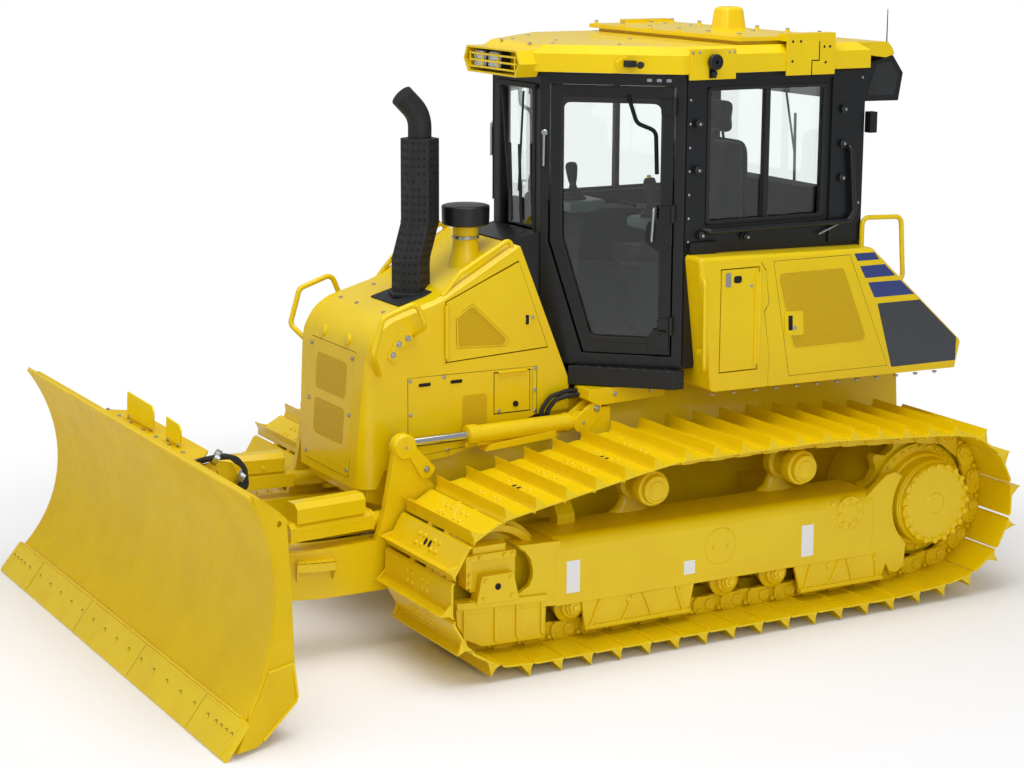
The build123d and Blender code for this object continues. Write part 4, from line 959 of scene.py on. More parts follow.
        # hand-hole cover, recoil plug cover and their rims
        shape.turned((b - 6, 544, 446), X, [(0, 98), (9, 96), (11, 90), (11, 6)], 36)
        shape.turned((b - 6, 1364, 515), X, [(0, 92), (10, 90), (12, 84), (12, 50), (17, 46), (17, 4)], 36)
        keep("track_frame_boxes", shape.both_sides(), ENAMEL, edge=5.0, replaces=["track_frame_left",
                                                                                "track_frame_right"])
        bolts, holes, labels = Shape(), Shape(), Shape()
        bolts.bolts([(b + 5, y, z) for y, z in ((500, 446), (588, 446))], X, 10)
        bolts.bolts([(b + 5, y, z) for y, z in circle(8, 68, (1364, 515))], X, 11)
        bolts.bolts([(b + 4, y, 574) for y in (-895, -850, -715, -670)], X, 12)
        bolts.bolts([(b + 10, -910, z) for z in (455, 495)], X, 12)
        bolts.bolts([(b + 22, y, z) for y, z in ((-835, 372), (-683, 372), (-828, 460), (-690, 460))], X, 12)
        bolts.turned((b - 6, 1257, 572), X, [(0, 14), (6, 14), (9, 10)], 12)
        holes.turned((b + 20, -759, 425), X, [(0, 17), (2.6, 17)], 20)
        for y0, y1, z0, z1 in ((-363, -287, 325, 489), (326, 392, 323, 394), (1056, 1132, 315, 485)):
            labels.box((b - 1, b + 0.6), (y0, y1), (z0, z1))
        keep("frame_bolts", bolts.both_sides(), ENAMEL, edge=1.0)
        keep("bearing_holes", holes.both_sides(), SHADE_BLACK, edge=0)
        keep("blank_frame_labels", labels.both_sides(), PALE_LABEL, edge=0)

    def build(self) -> None:
        """Build both sides."""
        self.find_pins()
        self.tracks()
        self.wheels()
        self.frames()


# ---------------------------------------------------------------- blade and its frame
@dataclass
class BladeTrim:
    """Bolts, wear plates, welds and hoses of the blade and of the frame that carries it."""
    foot: Flat = (-2257.0, 152.0)
    deep: Flat = (-2074.0, 655.0)
    top: Flat = (-2208.0, 1137.0)
    edge_low: Flat = (-2384.0, 10.0)
    edge_top: Flat = (-2275.0, 154.0)
    half: float = 1533.0
    toe: float = 0.472
    end_y: float = -2150.0
    plate: float = 18.0
    steps: int = 40
    nose: Flat = (-1350.0, 562.0)
    head: Point = (452.0, -920.0, 640.0)
    pin: Point = (565.0, -1938.0, 640.0)
    cover: Flat = (262.0, 650.0)

    def face_y(self, z: float) -> float:
        """Find the moldboard's face on the circle through its three stations.

        Args:
            z: the height.
        Returns:
            The face's Y there.
        """
        (y1, z1), (y2, z2), (y3, z3) = self.foot, self.deep, self.top
        a = 2 * (y2 - y1), 2 * (z2 - z1), y2 * y2 - y1 * y1 + z2 * z2 - z1 * z1
        b = 2 * (y3 - y2), 2 * (z3 - z2), y3 * y3 - y2 * y2 + z3 * z3 - z2 * z2
        scale = a[0] * b[1] - a[1] * b[0]
        cy, cz = (a[2] * b[1] - a[1] * b[2]) / scale, (a[0] * b[2] - a[2] * b[0]) / scale
        return cy + math.sqrt(math.hypot(y1 - cy, z1 - cz) ** 2 - (z - cz) ** 2)

    def end_x(self, y: float) -> float:
        """Return the end plate's inner face at a station."""
        return self.half - self.toe * (y - self.end_y)

    def moldboard(self) -> None:
        """Skin the face in one smooth sheet, roll its top edge and run the weld along its foot."""
        skin, rings, front, back = Shape(), [], -5, 4
        for k in range(self.steps + 1):
            z = self.foot[1] + 1 + (self.top[1] - self.foot[1] - 1) * k / self.steps
            y = self.face_y(z)
            reach = self.end_x(y) + 1
            rings.append([(x, y + dy, z) for x, dy in ((-reach, front), (reach, front), (reach, back),
                                                       (-reach, back))])
        skin.loft(rings)
        keep("moldboard_face", skin, SHADED_BLADE_ENAMEL, "blade", edge=0)
        lip = Shape().rod((-self.end_x(-2208), -2201, 1137), (self.end_x(-2208), -2201, 1137), 9, 14)
        seam = [Vector((x, -2262 + 2 * math.sin(x / 11), 157 + 1.5 * math.cos(x / 13)))
                for x in range(-1560, 1561, 40)]
        lip.sweep(seam, 7, 8)
        keep("blade_lip_and_weld", lip, ENAMEL, "blade", edge=0)

    def edges(self) -> None:
        """Bolt the cutting edge's four lengths and end bits, with dark joints between them and a painted
        shadow above each bolt.
        """
        bolts, joints, bits, bolt_shadows = Shape(), Shape(), Shape(), Shape()
        (y0, z0), (y1, z1) = self.edge_low, self.edge_top
        slope = Vector((0, y1 - y0, z1 - z0)).normalized()
        out = Vector((0, -slope.z, slope.y))

        def at(x: float, share: float, lift: float) -> Vector:
            """Return a point on the edge's front face."""
            return Vector((x, y0, z0)) + slope * ((z1 - z0) / slope.z * share) + out * lift

        corner_bolts = [-1576, -1516, -1456, -1396, 1396, 1456, 1516, 1576]
        for x in corner_bolts + [-1300 + 2600 * k / 15 for k in range(16)]:
            place = at(x, 0.55, 3.2 if abs(x) > 1190 else 0)
            # painted shadow: a dark disc set up the slope behind each bolt shows as a crescent above its head
            bolt_shadows.turned(place + slope * 3, out, [(-2, 17), (0.5, 17)], 16)
            bolts.turned(place - slope * 2, out, [(-2, 16), (1.4, 15), (2.0, 8)], 16)
        for x in (-1180, -395, 395, 1180):
            joints.loft([[at(x + dx, s, lift)
                          for dx, s in ((-1.6, 0.01), (1.6, 0.01), (1.6, 0.99), (-1.6, 0.99))]
                         for lift in (0.5, -3)])
        for side in (1, -1):
            outline = [(1190, 0.0), (1600, 0.0), (1606, 0.5), (1596, 0.94), (1190, 0.94)]
            bits.loft([[at(side * x, s, lift) for x, s in outline] for lift in (-2, 3.2)])
        keep("edge_end_bits", bits, EDGE_ENAMEL, "blade", edge=1.5)
        keep("edge_bolts", bolts, EDGE_ENAMEL, "blade", edge=0)
        keep("edge_joints", joints, JOINT_AND_BOLT_SHADOW, "blade", edge=0)
        keep("edge_bolt_painted_shadows", bolt_shadows, JOINT_AND_BOLT_SHADOW, "blade", edge=0)

    def ends(self) -> None:
        """Run weld beads round the wear plates on both end plates."""
        beads = Shape()
        for side in (1, -1):
            line = [(self.face_y(335) + 14, 339), (-1982, 337), (-1962, 180), (-1970, 158), (-2190, 26)]
            path = []
            for (ya, za), (yb, zb) in zip(line, line[1:]):
                for k in range(10):
                    y, z = ya + (yb - ya) * k / 10, za + (zb - za) * k / 10
                    out = self.plate + (4 if z > 300 else 10)
                    path.append(Vector((side * (self.end_x(y) + out * math.hypot(1, self.toe)), y, z)))
            beads.sweep(path, 7, 8)
        keep("wear_plate_welds", beads, ENAMEL, "blade", edge=0)

    def back(self) -> None:
        """Dress the back: cover bolts, sight plates and the hose bundle with its clamps."""
        bolts, hose, clamp = Shape(), Shape(), Shape()
        for x in (-640, -470, -300, -120, 60, 240, 420, 600):
            bolts.bolt((x, -2075, 1082), Z, 12)
        sight = Shape()
        for x0, x1, z, height in ((-415, -40, 1095, 128), (135, 327, 1092, 108)):
            for x in (x0 + 30, x1 - 30):
                bolts.bolt((x, -2052, z), (0, -1, 0), 9)
            sight.prism([(x0, 1094), (x1, 1094), (x1 + 12, 1087 + height - 24), (x1 - 8, 1087 + height),
                         (x0 + 16, 1087 + height + 8)], "y", -2053, -2045)
        keep("sight_plates", sight, SIGHT_ENAMEL, "blade", edge=1)
        for x, y, z in ((613, -1938, 640), (-613, -1938, 640)):
            bolts.turned((x - math.copysign(48, x), y, z + 76), Z, [(0, 30), (8, 30), (12, 24)], 24)
        for k in range(3):
            d = 19 * k
            hose.tube([(560, -2075 + d, 1066), (655, -2062 + d, 1100), (700, -1960 + d, 1120 - d * 0.3),
                       (690 - d * 0.3, -1870 + d * 0.3, 1046 - d * 0.4), (668, -1852 - d, 950),
                       (600, -1880 - d, 890)], 12, 60, 10)
        for place in ((660, -2000, 1104), (656, -1872, 1002)):
            clamp.turned(place, (0.3, 0.8, -0.5), [(-14, 38), (14, 38)], 20)
        keep("blade_bolts", bolts, ZINC, "blade", edge=0.5)
        keep("blade_hoses", hose, RUBBER, "blade", edge=0)
        keep("hose_clamps", clamp, ZINC, "blade", edge=2)

    def frame(self) -> None:
        """Dress the blade frame: nose tread step, cover seams, pins and grease plugs."""
        tread, bolts = Shape(), Shape()
        middle, reach = self.nose
        for side in (1, -1):
            angles = [math.radians(a) for a in range(-20, -1, 2)]
            for inner, low in ((reach - 2, 496), (reach + 54, 456)):
                ring = [(side * r * math.cos(a), middle + r * math.sin(a))
                        for r, order in ((reach + 58, angles), (inner, angles[::-1])) for a in order]
                tread.prism(ring[::side], "z", low, 502)
            for a in (angles[0], angles[-1]):
                way = Vector((side * math.cos(a), math.sin(a), 0))
                across = Vector((-way.y, way.x, 0)) * 3
                foot = Vector((0, middle, 0))
                tread.loft([[foot + way * r + across * s + Vector((0, 0, z))
                             for r, z in ((reach - 2, 400), (reach + 18, 400), (reach + 56, 458),
                                          (reach + 56, 500), (reach - 2, 500))] for s in (-1, 1)])
            for a in [math.radians(x / 2) for x in range(-38, -5, 3)]:
                for r in (reach + 12, reach + 28, reach + 44):
                    tread.turned((side * r * math.cos(a), middle + r * math.sin(a), 501), Z,
                                 [(0, 6), (5, 4)], 6)
        keep("nose_steps", tread, ENAMEL, "blade_frame", edge=1)
        bolts.turned((0, -1930, 548), Z, [(0, 52), (10, 52), (14, 46)], 28)
        bolts.bolts([(x, y, 560) for x, y in circle(6, 36, (0, -1930))], Z, 9)
        for side in (1, -1):
            bolts.turned((side * 452, -920, 701), Z, [(0, 24), (6, 24), (9, 19)], 20)
            for y in (-760, -640, -500):
                bolts.bolt((side * 560, y, 600), (side, 0, 0), 12)
        keep("frame_pins", bolts, ZINC, "blade_frame", edge=0.5)
        for side, tag in SIDES:
            keep(f"cover_bands_{tag}", self.cover_bands().on_side(side), ENAMEL,
                 f"angle_barrel_{tag}", edge=1.5)

    def cover_bands(self) -> Shape:
        """Shape the left angle cylinder's sheet cover: side strips, end plates and the raised lid.

        Returns:
            The cover.
        """
        head = Vector(self.head)
        way = (Vector(self.pin) - head).normalized()
        across = Vector((-way.y, way.x, 0))

        def at(base: Vector, side: float, up: float) -> Vector:
            """Return a point beside and above a point on the cylinder's axis."""
            return base + across * side + Vector((0, 0, up))

        strip, near, far = Shape(), head + way * 220, head + way * 662
        for lift in (24, -26):
            strip.loft([[at(base, 57 * s, lift + dz)
                         for base, dz in ((near, -1.5), (far, -1.5), (far, 1.5), (near, 1.5))]
                        for s in (0.97, 1.006)])
        arch = ((-59, -30), (-43, -30), (-43, 43), (43, 43), (43, -30), (59, -30), (59, 42), (36, 65),
                (-36, 65), (-59, 42))
        for base in (near, far):
            strip.loft([[at(base, x, z) + way * half for x, z in arch] for half in (-7, 7)])
        lid = ((-60, 60), (60, 60), (60, 132), (34, 158), (-34, 158), (-60, 132))
        strip.loft([[at(head + way * d, x, z) for x, z in lid] for d in self.cover])
        return strip.bolt(at(head + way * 380, -60, 84), -across, 11)

    def build(self) -> None:
        """Build all of the blade's and its frame's trim."""
        self.moldboard()
        self.edges()
        self.ends()
        self.back()
        self.frame()


# ---------------------------------------------------------------- hood
@dataclass
class HoodTrim:
    """What is fastened to the hood: panels, mesh, bolts, rails' feet, exhaust guard and hoses."""
    half: float = 390.0
    stack_x: float = 100.0
    stack: Sequence[Flat] = ((-700, 1704), (-700, 1872), (-646, 2060), (-646, 2484))
    guard_r: float = 98.0
    hole_pitch: float = 38.0
    precleaner: Point = (130.0, -400.0, 2090.0)

    def nose_y(self, z: float) -> float:
        """Find the leaning front.

        Args:
            z: the height.
        Returns:
            The front's Y there.
        """
        profile = ((769, -1142), (879, -1134), (1420, -1096), (1512, -1074), (1582, -1028))
        for (z0, y0), (z1, y1) in zip(profile, profile[1:]):
            if z <= z1:
                return y0 + (z - z0) / (z1 - z0) * (y1 - y0)
        return profile[-1][1]

    def on_nose(self, shape: Shape, outline: Sequence[Flat], out: float, depth: float) -> Shape:
        """Add a plate that lies on the leaning front.

        Args:
            shape: the shape to add to.
            outline: (x, z) corners.
            out: how far its face stands out.
            depth: its thickness.
        Returns:
            The shape.
        """
        return shape.loft([[(x, self.nose_y(z) - out + d, z) for x, z in outline] for d in (0, depth)])

    def nose(self) -> None:
        """Dress the front with its bolted panel, two mesh windows and plugs."""
        seam, mesh, bolts, plugs = Shape(), Shape(), Shape(), Shape()
        panel = round_corners([(-268, 812), (268, 812), (268, 1452), (-268, 1452)], 16)
        self.on_nose(seam, panel, 0.7, 6)
        plate = round_corners([(-265, 815), (265, 815), (265, 1449), (-265, 1449)], 14)
        windows = [round_corners([(-180, z0), (180, z0), (180, z1), (-180, z1)], 34)
                   for z0, z1 in ((1196, 1382), (960, 1146))]
        board = self.on_nose(Shape(), plate, 4, 9)
        for window in windows:
            cutter = Shape().loft([[(x, self.nose_y(z) + d, z) for x, z in window] for d in (-20, 20)])
            board.cut(cutter)
            self.on_nose(mesh, window, 1.6, 3)
        keep("nose_panel_seam", seam, SHADE_BLACK, edge=0)
        keep("nose_panel", board, ENAMEL, edge=1.6)
        keep("nose_mesh", mesh, MESH_ENAMEL, edge=0)
        for x in (-245, 245):
            for z in (1418, 1130, 850):
                bolts.bolt((x, self.nose_y(z) - 4, z), (0, -1, 0.05), 11)
        keep("nose_bolts", bolts, ZINC, edge=0.5)
        for x in (-145, 145):
            y = self.nose_y(1492)
            plugs.turned((x, y + 6, 1492), (0, -1, 0.24), [(0, 29), (11, 29), (14, 24), (15, 4)], 24)
        keep("nose_plugs", plugs, ENAMEL, edge=0.8)

    def sides(self) -> None:
        """Dress both flanks with seams, mesh, grips and bolts."""
        h = self.half
        seams, mesh, bolts, raised, dark = Shape(), Shape(), Shape(), Shape(), Shape()
        lower = [(-866, 1320), (-640, 1319), (-120, 1314), (-120, 1062), (-440, 940), (-866, 908)]
        frame_line(seams, lower, h + 0.4, 3.2)
        frame_line(seams, [(-146, 1300), (-375, 1300), (-375, 1085), (-146, 1085)], h + 0.5, 2.4)
        window = round_corners([(-560, 1205), (-410, 1205), (-410, 990), (-560, 960)], 26)
        mesh.prism(window, "x", h - 4, h + 0.8)
        frame_line(raised, window, h + 1.2, 7)
        for y in (-770, -590):
            grip = round_corners([(y - 40, 1262), (y + 40, 1262), (y + 40, 1292), (y - 40, 1292)], 15)
            frame_line(raised, grip, h + 2.5, 6)
            # the grip's recess is painted near black: painted shade
            dark.prism(round_corners([(y - 34, 1268), (y + 34, 1268), (y + 34, 1286), (y - 34, 1286)], 9),
                       "x", h - 2, h + 0.6)
        for y, z in ((-850, 1303), (-660, 1306), (-850, 1130), (-850, 950), (-640, 928), (-132, 1303),
                     (-132, 1190), (-132, 1078), (-345, 1100)):
            bolts.bolt((h + 0.5, y, z), X, 10)
        dark.turned((h - 2, -248, 1128), X, [(0, 15), (10.5, 15)], 18)
        keep("hood_side_seams", seams.both_sides(), SHADE_BLACK, edge=0)
        keep("hood_side_mesh", mesh.both_sides(), MESH_ENAMEL, edge=0)
        keep("hood_side_bolts", bolts.both_sides(), ZINC, edge=0.5)
        keep("hood_side_rims", raised.both_sides(), ENAMEL, edge=1.5)
        keep("hood_side_slots", dark.both_sides(), SHADE_BLACK, edge=0)

    def engine_doors(self) -> None:
        """Dress both engine doors: mesh in the window, its rim, the hinge strip and the latch."""
        h = self.half
        net, rim, latch, pin = Shape(), Shape(), Shape(), Shape()
        outline = round_corners([(-590, 1606), (-502, 1664), (-297, 1467), (-308, 1438), (-586, 1449)], 22)
        net.prism(outline, "x", h - 8, h - 3)
        frame_line(rim, outline, h + 1.8, 9)
        rim.prism([(-200, 1560), (-160, 1600), (-128, 1560), (-168, 1520)], "x", h - 2, h + 3)
        rim.rod((h + 9, -648, 1402), (h + 9, -648, 1668), 9)
        for z in range(1402, 1623, 44):
            rim.turned((h + 9, -648, z), Z, [(0, 11), (40, 11)], 12)
        latch.box((h - 1, h + 3.8), (-190, -172), (1537, 1585))
        pin.bolt((h + 3, -150, 1572), X, 9)
        for side, tag in SIDES:
            body = f"engine_door_{tag}"
            for name, shape, finish, edge in (("mesh", net, MESH_ENAMEL, 0), ("rims", rim, ENAMEL, 1.2),
                                              ("latch", latch, SHADE_BLACK, 0),
                                              ("latch_bolt", pin, ZINC, 0.5)):
                keep(f"{body}_{name}", shape.on_side(side), finish, body, edge)

    def top(self) -> None:
        """Dress the hood's top: bolted cover, exhaust base and rail feet."""
        feet, bolts, base = Shape(), Shape(), Shape()
        slope = Vector((0, 262, 73)).normalized()
        lift = Vector((0, -slope.z, slope.y))
        for x, y in ((-250, -930), (-250, -740), (-60, -930), (250, -930), (-330, -560), (-330, -380)):
            z = 1632 + (y + 952) * 0.279 if y < -690 else 1705 + (y + 690) * 0.558
            bolts.bolt((x, y, z), lift, 10)
        base.loft([[(x, y, 1632 + (y + 952) * 0.279 + dz) for x, y in ((-60, -850), (262, -850), (262, -560),
                                                                       (-60, -560))] for dz in (-30, 9)])
        base.turned((self.stack_x, -700, 1690), Z, [(0, 122), (16, 122), (20, 116)], 6)
        feet.add_sides(Shape().prism(round_corners([(-985, 1430), (-905, 1560), (-850, 1545), (-820, 1500),
                                                    (-900, 1478), (-935, 1400)], 20), "x", self.half - 4,
                                     self.half + 12))
        knobs = [(self.half + 12, y, z) for y, z in ((-950, 1448), (-918, 1500), (-868, 1525))]
        bolts.add_sides(Shape().bolts(knobs, X, 15))
        keep("rail_feet", feet, ENAMEL, edge=3)
        keep("hood_top_bolts", bolts, ZINC, edge=0.5)
        keep("exhaust_base", base, HEAT_BLACK, edge=2)

    def exhaust(self) -> None:
        """Build the six-sided perforated guard in three lengths with the curved outlet pipe."""
        guard, holes = Shape(), Shape()
        corners = circle(6, self.guard_r)
        for (y0, z0), (y1, z1) in zip(self.stack, self.stack[1:]):
            low = [Vector((self.stack_x + x, y0 + y, z0)) for x, y in corners]
            high = [Vector((self.stack_x + x, y1 + y, z1)) for x, y in corners]
            guard.loft([low, high])
            rows = max(2, round((z1 - z0) / self.hole_pitch))
            for k in range(6):
                a, b, c, d = low[k], low[(k + 1) % 6], high[(k + 1) % 6], high[k]
                normal = (b - a).cross(d - a).normalized()
                for r in range(rows):
                    for q in range(3):
                        u, v = (q + 0.75) / 3.5, (r + 0.5) / rows
                        at = a.lerp(b, u).lerp(d.lerp(c, u), v)
                        if (q + r) % 7 != 6:
                            # each hole is a near-black disc on the guard: painted shade
                            holes.turned(at - normal * 2, normal, [(0, 8.5), (3, 8.5)], 10)
        for y, z in self.stack[1:3]:
            ring = [(self.stack_x + 1.03 * x, y + 1.03 * c, z) for x, c in corners]
            guard.loft([[(x, v, z - 5) for x, v, z in ring], [(x, v, z + 5) for x, v, z in ring]])
        pipe = [(self.stack_x, -646, 2470), (self.stack_x, -646, 2600), (self.stack_x, -748, 2702)]
        guard.tube(pipe, 60, 150, 28)
        keep("exhaust_guard", guard, HEAT_BLACK, edge=2, replaces=["exhaust_stack"])
        keep("exhaust_guard_holes", holes, SHADE_BLACK, edge=0)
        # the pipe's mouth is a near-black disc: painted shade inside the pipe
        mouth = Shape()
        way = Vector((0, -102, 102)).normalized()
        mouth.turned(Vector(pipe[2]) - way * 2, way, [(0, 54), (3.4, 54)], 28)
        keep("exhaust_mouth", mouth, SHADE_BLACK, edge=0)

    def intake(self) -> None:
        """Build the precleaner on its flared duct."""
        x, y, z = self.precleaner
        bowl, duct, band = Shape(), Shape(), Shape()
        bowl.turned((x, y, z - 62), Z, [(0, 70), (4, 112), (12, 122), (100, 124), (104, 121), (108, 110),
                                                (112, 60), (113, 8)], 48)
        keep("precleaner_bowl", bowl, POWDER, edge=1.5, replaces=["precleaner"])
        duct.turned((x, y, 1726), Z, [(0, 116), (30, 112), (70, 100), (120, 84), (160, 74), (200, 67),
                                      (240, 65), (304, 65)], 40)
        keep("intake_duct", duct, ENAMEL, edge=1)
        band.turned((x, y, 1962), Z, [(0, 69), (2, 70.5), (14, 70.5), (16, 69)], 40)
        band.turned((x + 50, y - 52, 1970), (1, -1, 0), [(0, 10), (16, 10)], 6)
        keep("intake_clamp", band, ZINC, edge=0.5)

    def cylinders(self) -> None:
        """Dress the lift cylinders with collars, guards, pins and hoses."""
        barrel, rod, levers, pins, hose = Shape(), Shape(), Shape(), Shape(), Shape()
        a, b = Vector((493, 69, 1025)), Vector((493, -967, 1014))
        way = (b - a).normalized()
        barrel.turned(a, way, [(20, 40), (60, 47), (66, 50), (90, 50), (96, 46.5), (600, 46.5),
                                             (604, 53), (652, 53), (657, 47), (660, 30)], 32)
        barrel.turned((468, 69, 1025), X, [(0, 50), (50, 50)], 32)
        barrel.box((478, 508), (-600, -60), (962, 984)).box((480, 500), (-560, -520), (980, 1000))
        rod.turned(a, way, [(560, 25), (1000, 25)], 24)
        rod.turned((470, -967, 1014), X, [(0, 48), (46, 48)], 32)
        levers.turned((514, -967, 1014), X, [(0, 64), (6, 66), (46, 66), (52, 60), (63, 56), (63, 6)], 32)
        levers.prism(round_corners([(-985, 1030), (-940, 1040), (-800, 892), (-835, 846), (-880, 850)], 22),
                     "x", 556, 574)
        pins.bolt((573, -853, 892), X, 16)
        pins.turned((575.5, -967, 1014), X, [(0, 9), (4, 9)], 6)
        guard = Shape().prism([(-500, 934), (-90, 962), (-90, 1000), (-470, 968)], "x", 440, 540)
        # both arch out of the bracket and drop behind the barrel, clear of its swing
        hose.tube([(430, 125, 1168), (428, 40, 1174), (424, -58, 1152), (419, -108, 1090), (419, -116, 1000)],
                  12, 60)
        hose.tube([(458, 125, 1152), (450, 40, 1154), (432, -36, 1134), (420, -72, 1080), (419, -78, 1000)],
                  12, 60)
        bracket, studs = Shape(), Shape()
        for x0, x1 in ((440, 462), (524, 548)):
            bracket.prism(round_corners([(14, 1000), (40, 970), (110, 985), (190, 1060), (170, 1118),
                                         (120, 1122), (20, 1052)], 26), "x", x0, x1)
        bracket.prism(round_corners([(100, 1196), (90, 1140), (150, 1108), (560, 1118), (560, 1196)], 10),
                      "x", 400, 556)
        studs.bolt((548, 146, 1092), X, 18).bolt((548, 69, 1025), X, 9)
        for y in (250, 470):
            studs.bolt((556, y, 1160), X, 12)
        for side, tag in SIDES:
            barrel_body, rod_body = f"lift_barrel_{tag}", f"lift_rod_{tag}"
            for name, shape, finish, body, edge, stands in (
                    ("lift_cylinder", barrel, ENAMEL, barrel_body, 1.2, [barrel_body]),
                    ("lift_chrome", rod, CHROME, rod_body, 0, [rod_body]),
                    ("lift_lever_boss", levers, ENAMEL, "blade_frame", 1.2, []),
                    ("lift_lever_bolts", pins, ZINC, "blade_frame", 0, []),
                    ("lift_guard", guard, ENAMEL, barrel_body, 1.2, []),
                    ("lift_hoses", hose, RUBBER, "chassis", 0, []),
                    ("lift_head_bracket", bracket, ENAMEL, "chassis", 3, []),
                    ("lift_head_bolts", studs, ZINC, "chassis", 0.5, [])):
                keep(f"{name}_{tag}", shape.on_side(side), finish, body, edge, stands)

    def build(self) -> None:
        """Build all of the hood's trim."""
        self.nose()
        self.sides()
        self.engine_doors()
        self.top()
        self.exhaust()
        self.intake()
        self.cylinders()


# ---------------------------------------------------------------- cab
@dataclass
class CabTrim:
    """Everything fastened to the cab and its roof, and the operator's place inside."""
    front: Flat = (250.0, -28.0)
    pillar: Flat = (752.0, 522.0)
    side_x: float = 752.0
    rear_y: float = 1652.0
    deck_z: float = 2985.0
    lamps_x: Sequence[float] = (-165.0, -10.0)
    cloth_cell: float = 0.009          # metres
    cloth_pressure: float = 4.0
    cloth_frames: int = 20
    cloth_bulge: float = 0.012         # the furthest that the cover may swell, in metres

    def on_door(self, outline: Sequence[Flat], out: float, depth: float,
                shape: Optional[Shape] = None) -> Shape:
        """Add a plate in the left door's plane.

        Args:
            outline: (distance rearward along the door, height) corners.
            out: how far its face stands out of the door.
            depth: its thickness inward.
            shape: what to add to.
        Returns:
            The shape.
        """
        along = (Vector(self.pillar) - Vector(self.front)).normalized()
        normal = Vector((along.y, -along.x))
        rings = []
        for d in (out, out - depth):
            base = Vector(self.front) + normal * d
            rings.append([(*(base + along * s), z) for s, z in outline])
        return (shape or Shape()).loft(rings)

    def door_point(self, s: float, z: float, out: float) -> tuple[float, float, float]:
        """Find a point on or near the left door.

        Args:
            s: distance rearward along the door.
            z: height.
            out: distance out of the door's plane.
        Returns:
            The point.
        """
        along = (Vector(self.pillar) - Vector(self.front)).normalized()
        flat = Vector(self.front) + along * s + Vector((along.y, -along.x)) * out
        return (flat.x, flat.y, z)

    def doors(self) -> None:
        """Dress both doors: rubber seal, handle guard, covers and their bolts."""
        way = Vector(self.door_point(0, 0, 1)) - Vector(self.door_point(0, 0, 0))
        covers, steel, seal = Shape(), Shape(), Shape()
        self.on_door(round_corners([(560, 2060), (690, 2075), (690, 1930), (620, 1905), (545, 1960)], 30),
                     12, 14, covers)
        self.on_door(round_corners([(588, 1500), (682, 1512), (682, 1376), (575, 1376), (575, 1440)], 34),
                     12, 14, covers)
        self.on_door(round_corners([(556, 1985), (600, 2000), (600, 1960), (566, 1950)], 12), 16, 6, covers)
        for s, z in ((640, 1400), (640, 1485), (660, 1955), (660, 2045)):
            covers.turned(self.door_point(s, z, 11), way, [(0, 9), (6, 9), (9, 5)], 10)
        handle = ((590, 1960, 14), (590, 1960, 44), (600, 2130, 44), (600, 2130, 14))
        steel.tube([self.door_point(*place) for place in handle], 7, 16)
        pane = round_corners([(104, 1956), (104, 2686), (636, 2686), (636, 1426), (266, 1426)], 46)
        middle = sum((Vector(p) for p in pane), Vector((0, 0))) / len(pane)
        inner = [middle + (Vector(p) - middle) * 0.955 for p in pane]
        along = (Vector(self.pillar) - Vector(self.front)).normalized()
        normal = Vector((along.y, -along.x))
        rings = [[(*(Vector(self.front) + normal * d + along * s), z) for s, z in line]
                 for line, d in ((pane, -22), (pane, 3), (inner, 3), (inner, -22))]
        seal.loft(rings, closed=True)
        for side, tag in SIDES:
            body = f"cab_door_{tag}"
            for name, shape, finish in (("covers", covers, POWDER), ("handle", steel, ZINC),
                                        ("seal", seal, RUBBER)):
                keep(f"{body}_{name}", shape.on_side(side), finish, body, 1.5)

    def windows(self) -> None:
        """Dress the cab's sides, windscreen and rear window: rubber, knobs, rails and wipers."""

        def surround(outer: Point, inner: Point, start: float, end: float) -> Shape:
            """Return a rubber ring between two openings, each (half width, foot, head)."""
            return Shape().loft([[(x, y, z) for x, z in ((-w, foot), (w, foot), (w, head), (-w, head))]
                                 for (w, foot, head), y in ((outer, start), (outer, end), (inner, end),
                                                            (inner, start))], closed=True)

        x, rubber, knobs, rails, steel = self.side_x, Shape(), Shape(), Shape(), Shape()
        frame_line(rubber, round_corners([(655, 2040), (1396, 2040), (1396, 2740), (655, 2740)], 26),
                   x + 5, 26, 20)
        rubber.box((x - 40, x - 2), (1016, 1046), (2050, 2730))
        rubber.box((x - 2, x + 8), (640, 1410), (2006, 2034))
        for y, z in ((590, 2560), (590, 2325), (1500, 2600), (1500, 2420), (1500, 2240), (900, 1966),
                     (620, 1990)):
            knobs.turned((x - 2, y, z), X, [(0, 24), (8, 24), (10, 16), (24, 16), (26, 22), (34, 22),
                                            (38, 16)], 20)
            steel.turned((x + 35, y, z), X, [(0, 9), (6, 8), (8, 4)], 8)
        rails.tube([(x + 4, 640, 2016), (x + 36, 660, 2010), (x + 36, 1545, 2010), (x + 36, 1575, 2060),
                    (x + 36, 1545, 2400), (x + 2, 1530, 2400)], 15, 40)
        steel.rod((x + 22, 1360, 1950), (x + 22, 1560, 2024), 6)
        rails.box((x - 4, x + 30), (548, 720), (1898, 1956)).box((x + 20, x + 34), (548, 700), (1880, 1900))
        rails.box((x - 2, x + 12), (1430, 1640), (1900, 2800)).box((x - 2, x + 8), (530, 640), (1320, 2800))
        for z in range(1960, 2800, 120):
            steel.turned((x + 8, 548, z), X, [(0, 7), (4, 7), (6, 4)], 8)
        for z in (2100, 2760):
            steel.turned((x + 10, 1620, z), X, [(0, 8), (5, 8)], 6)
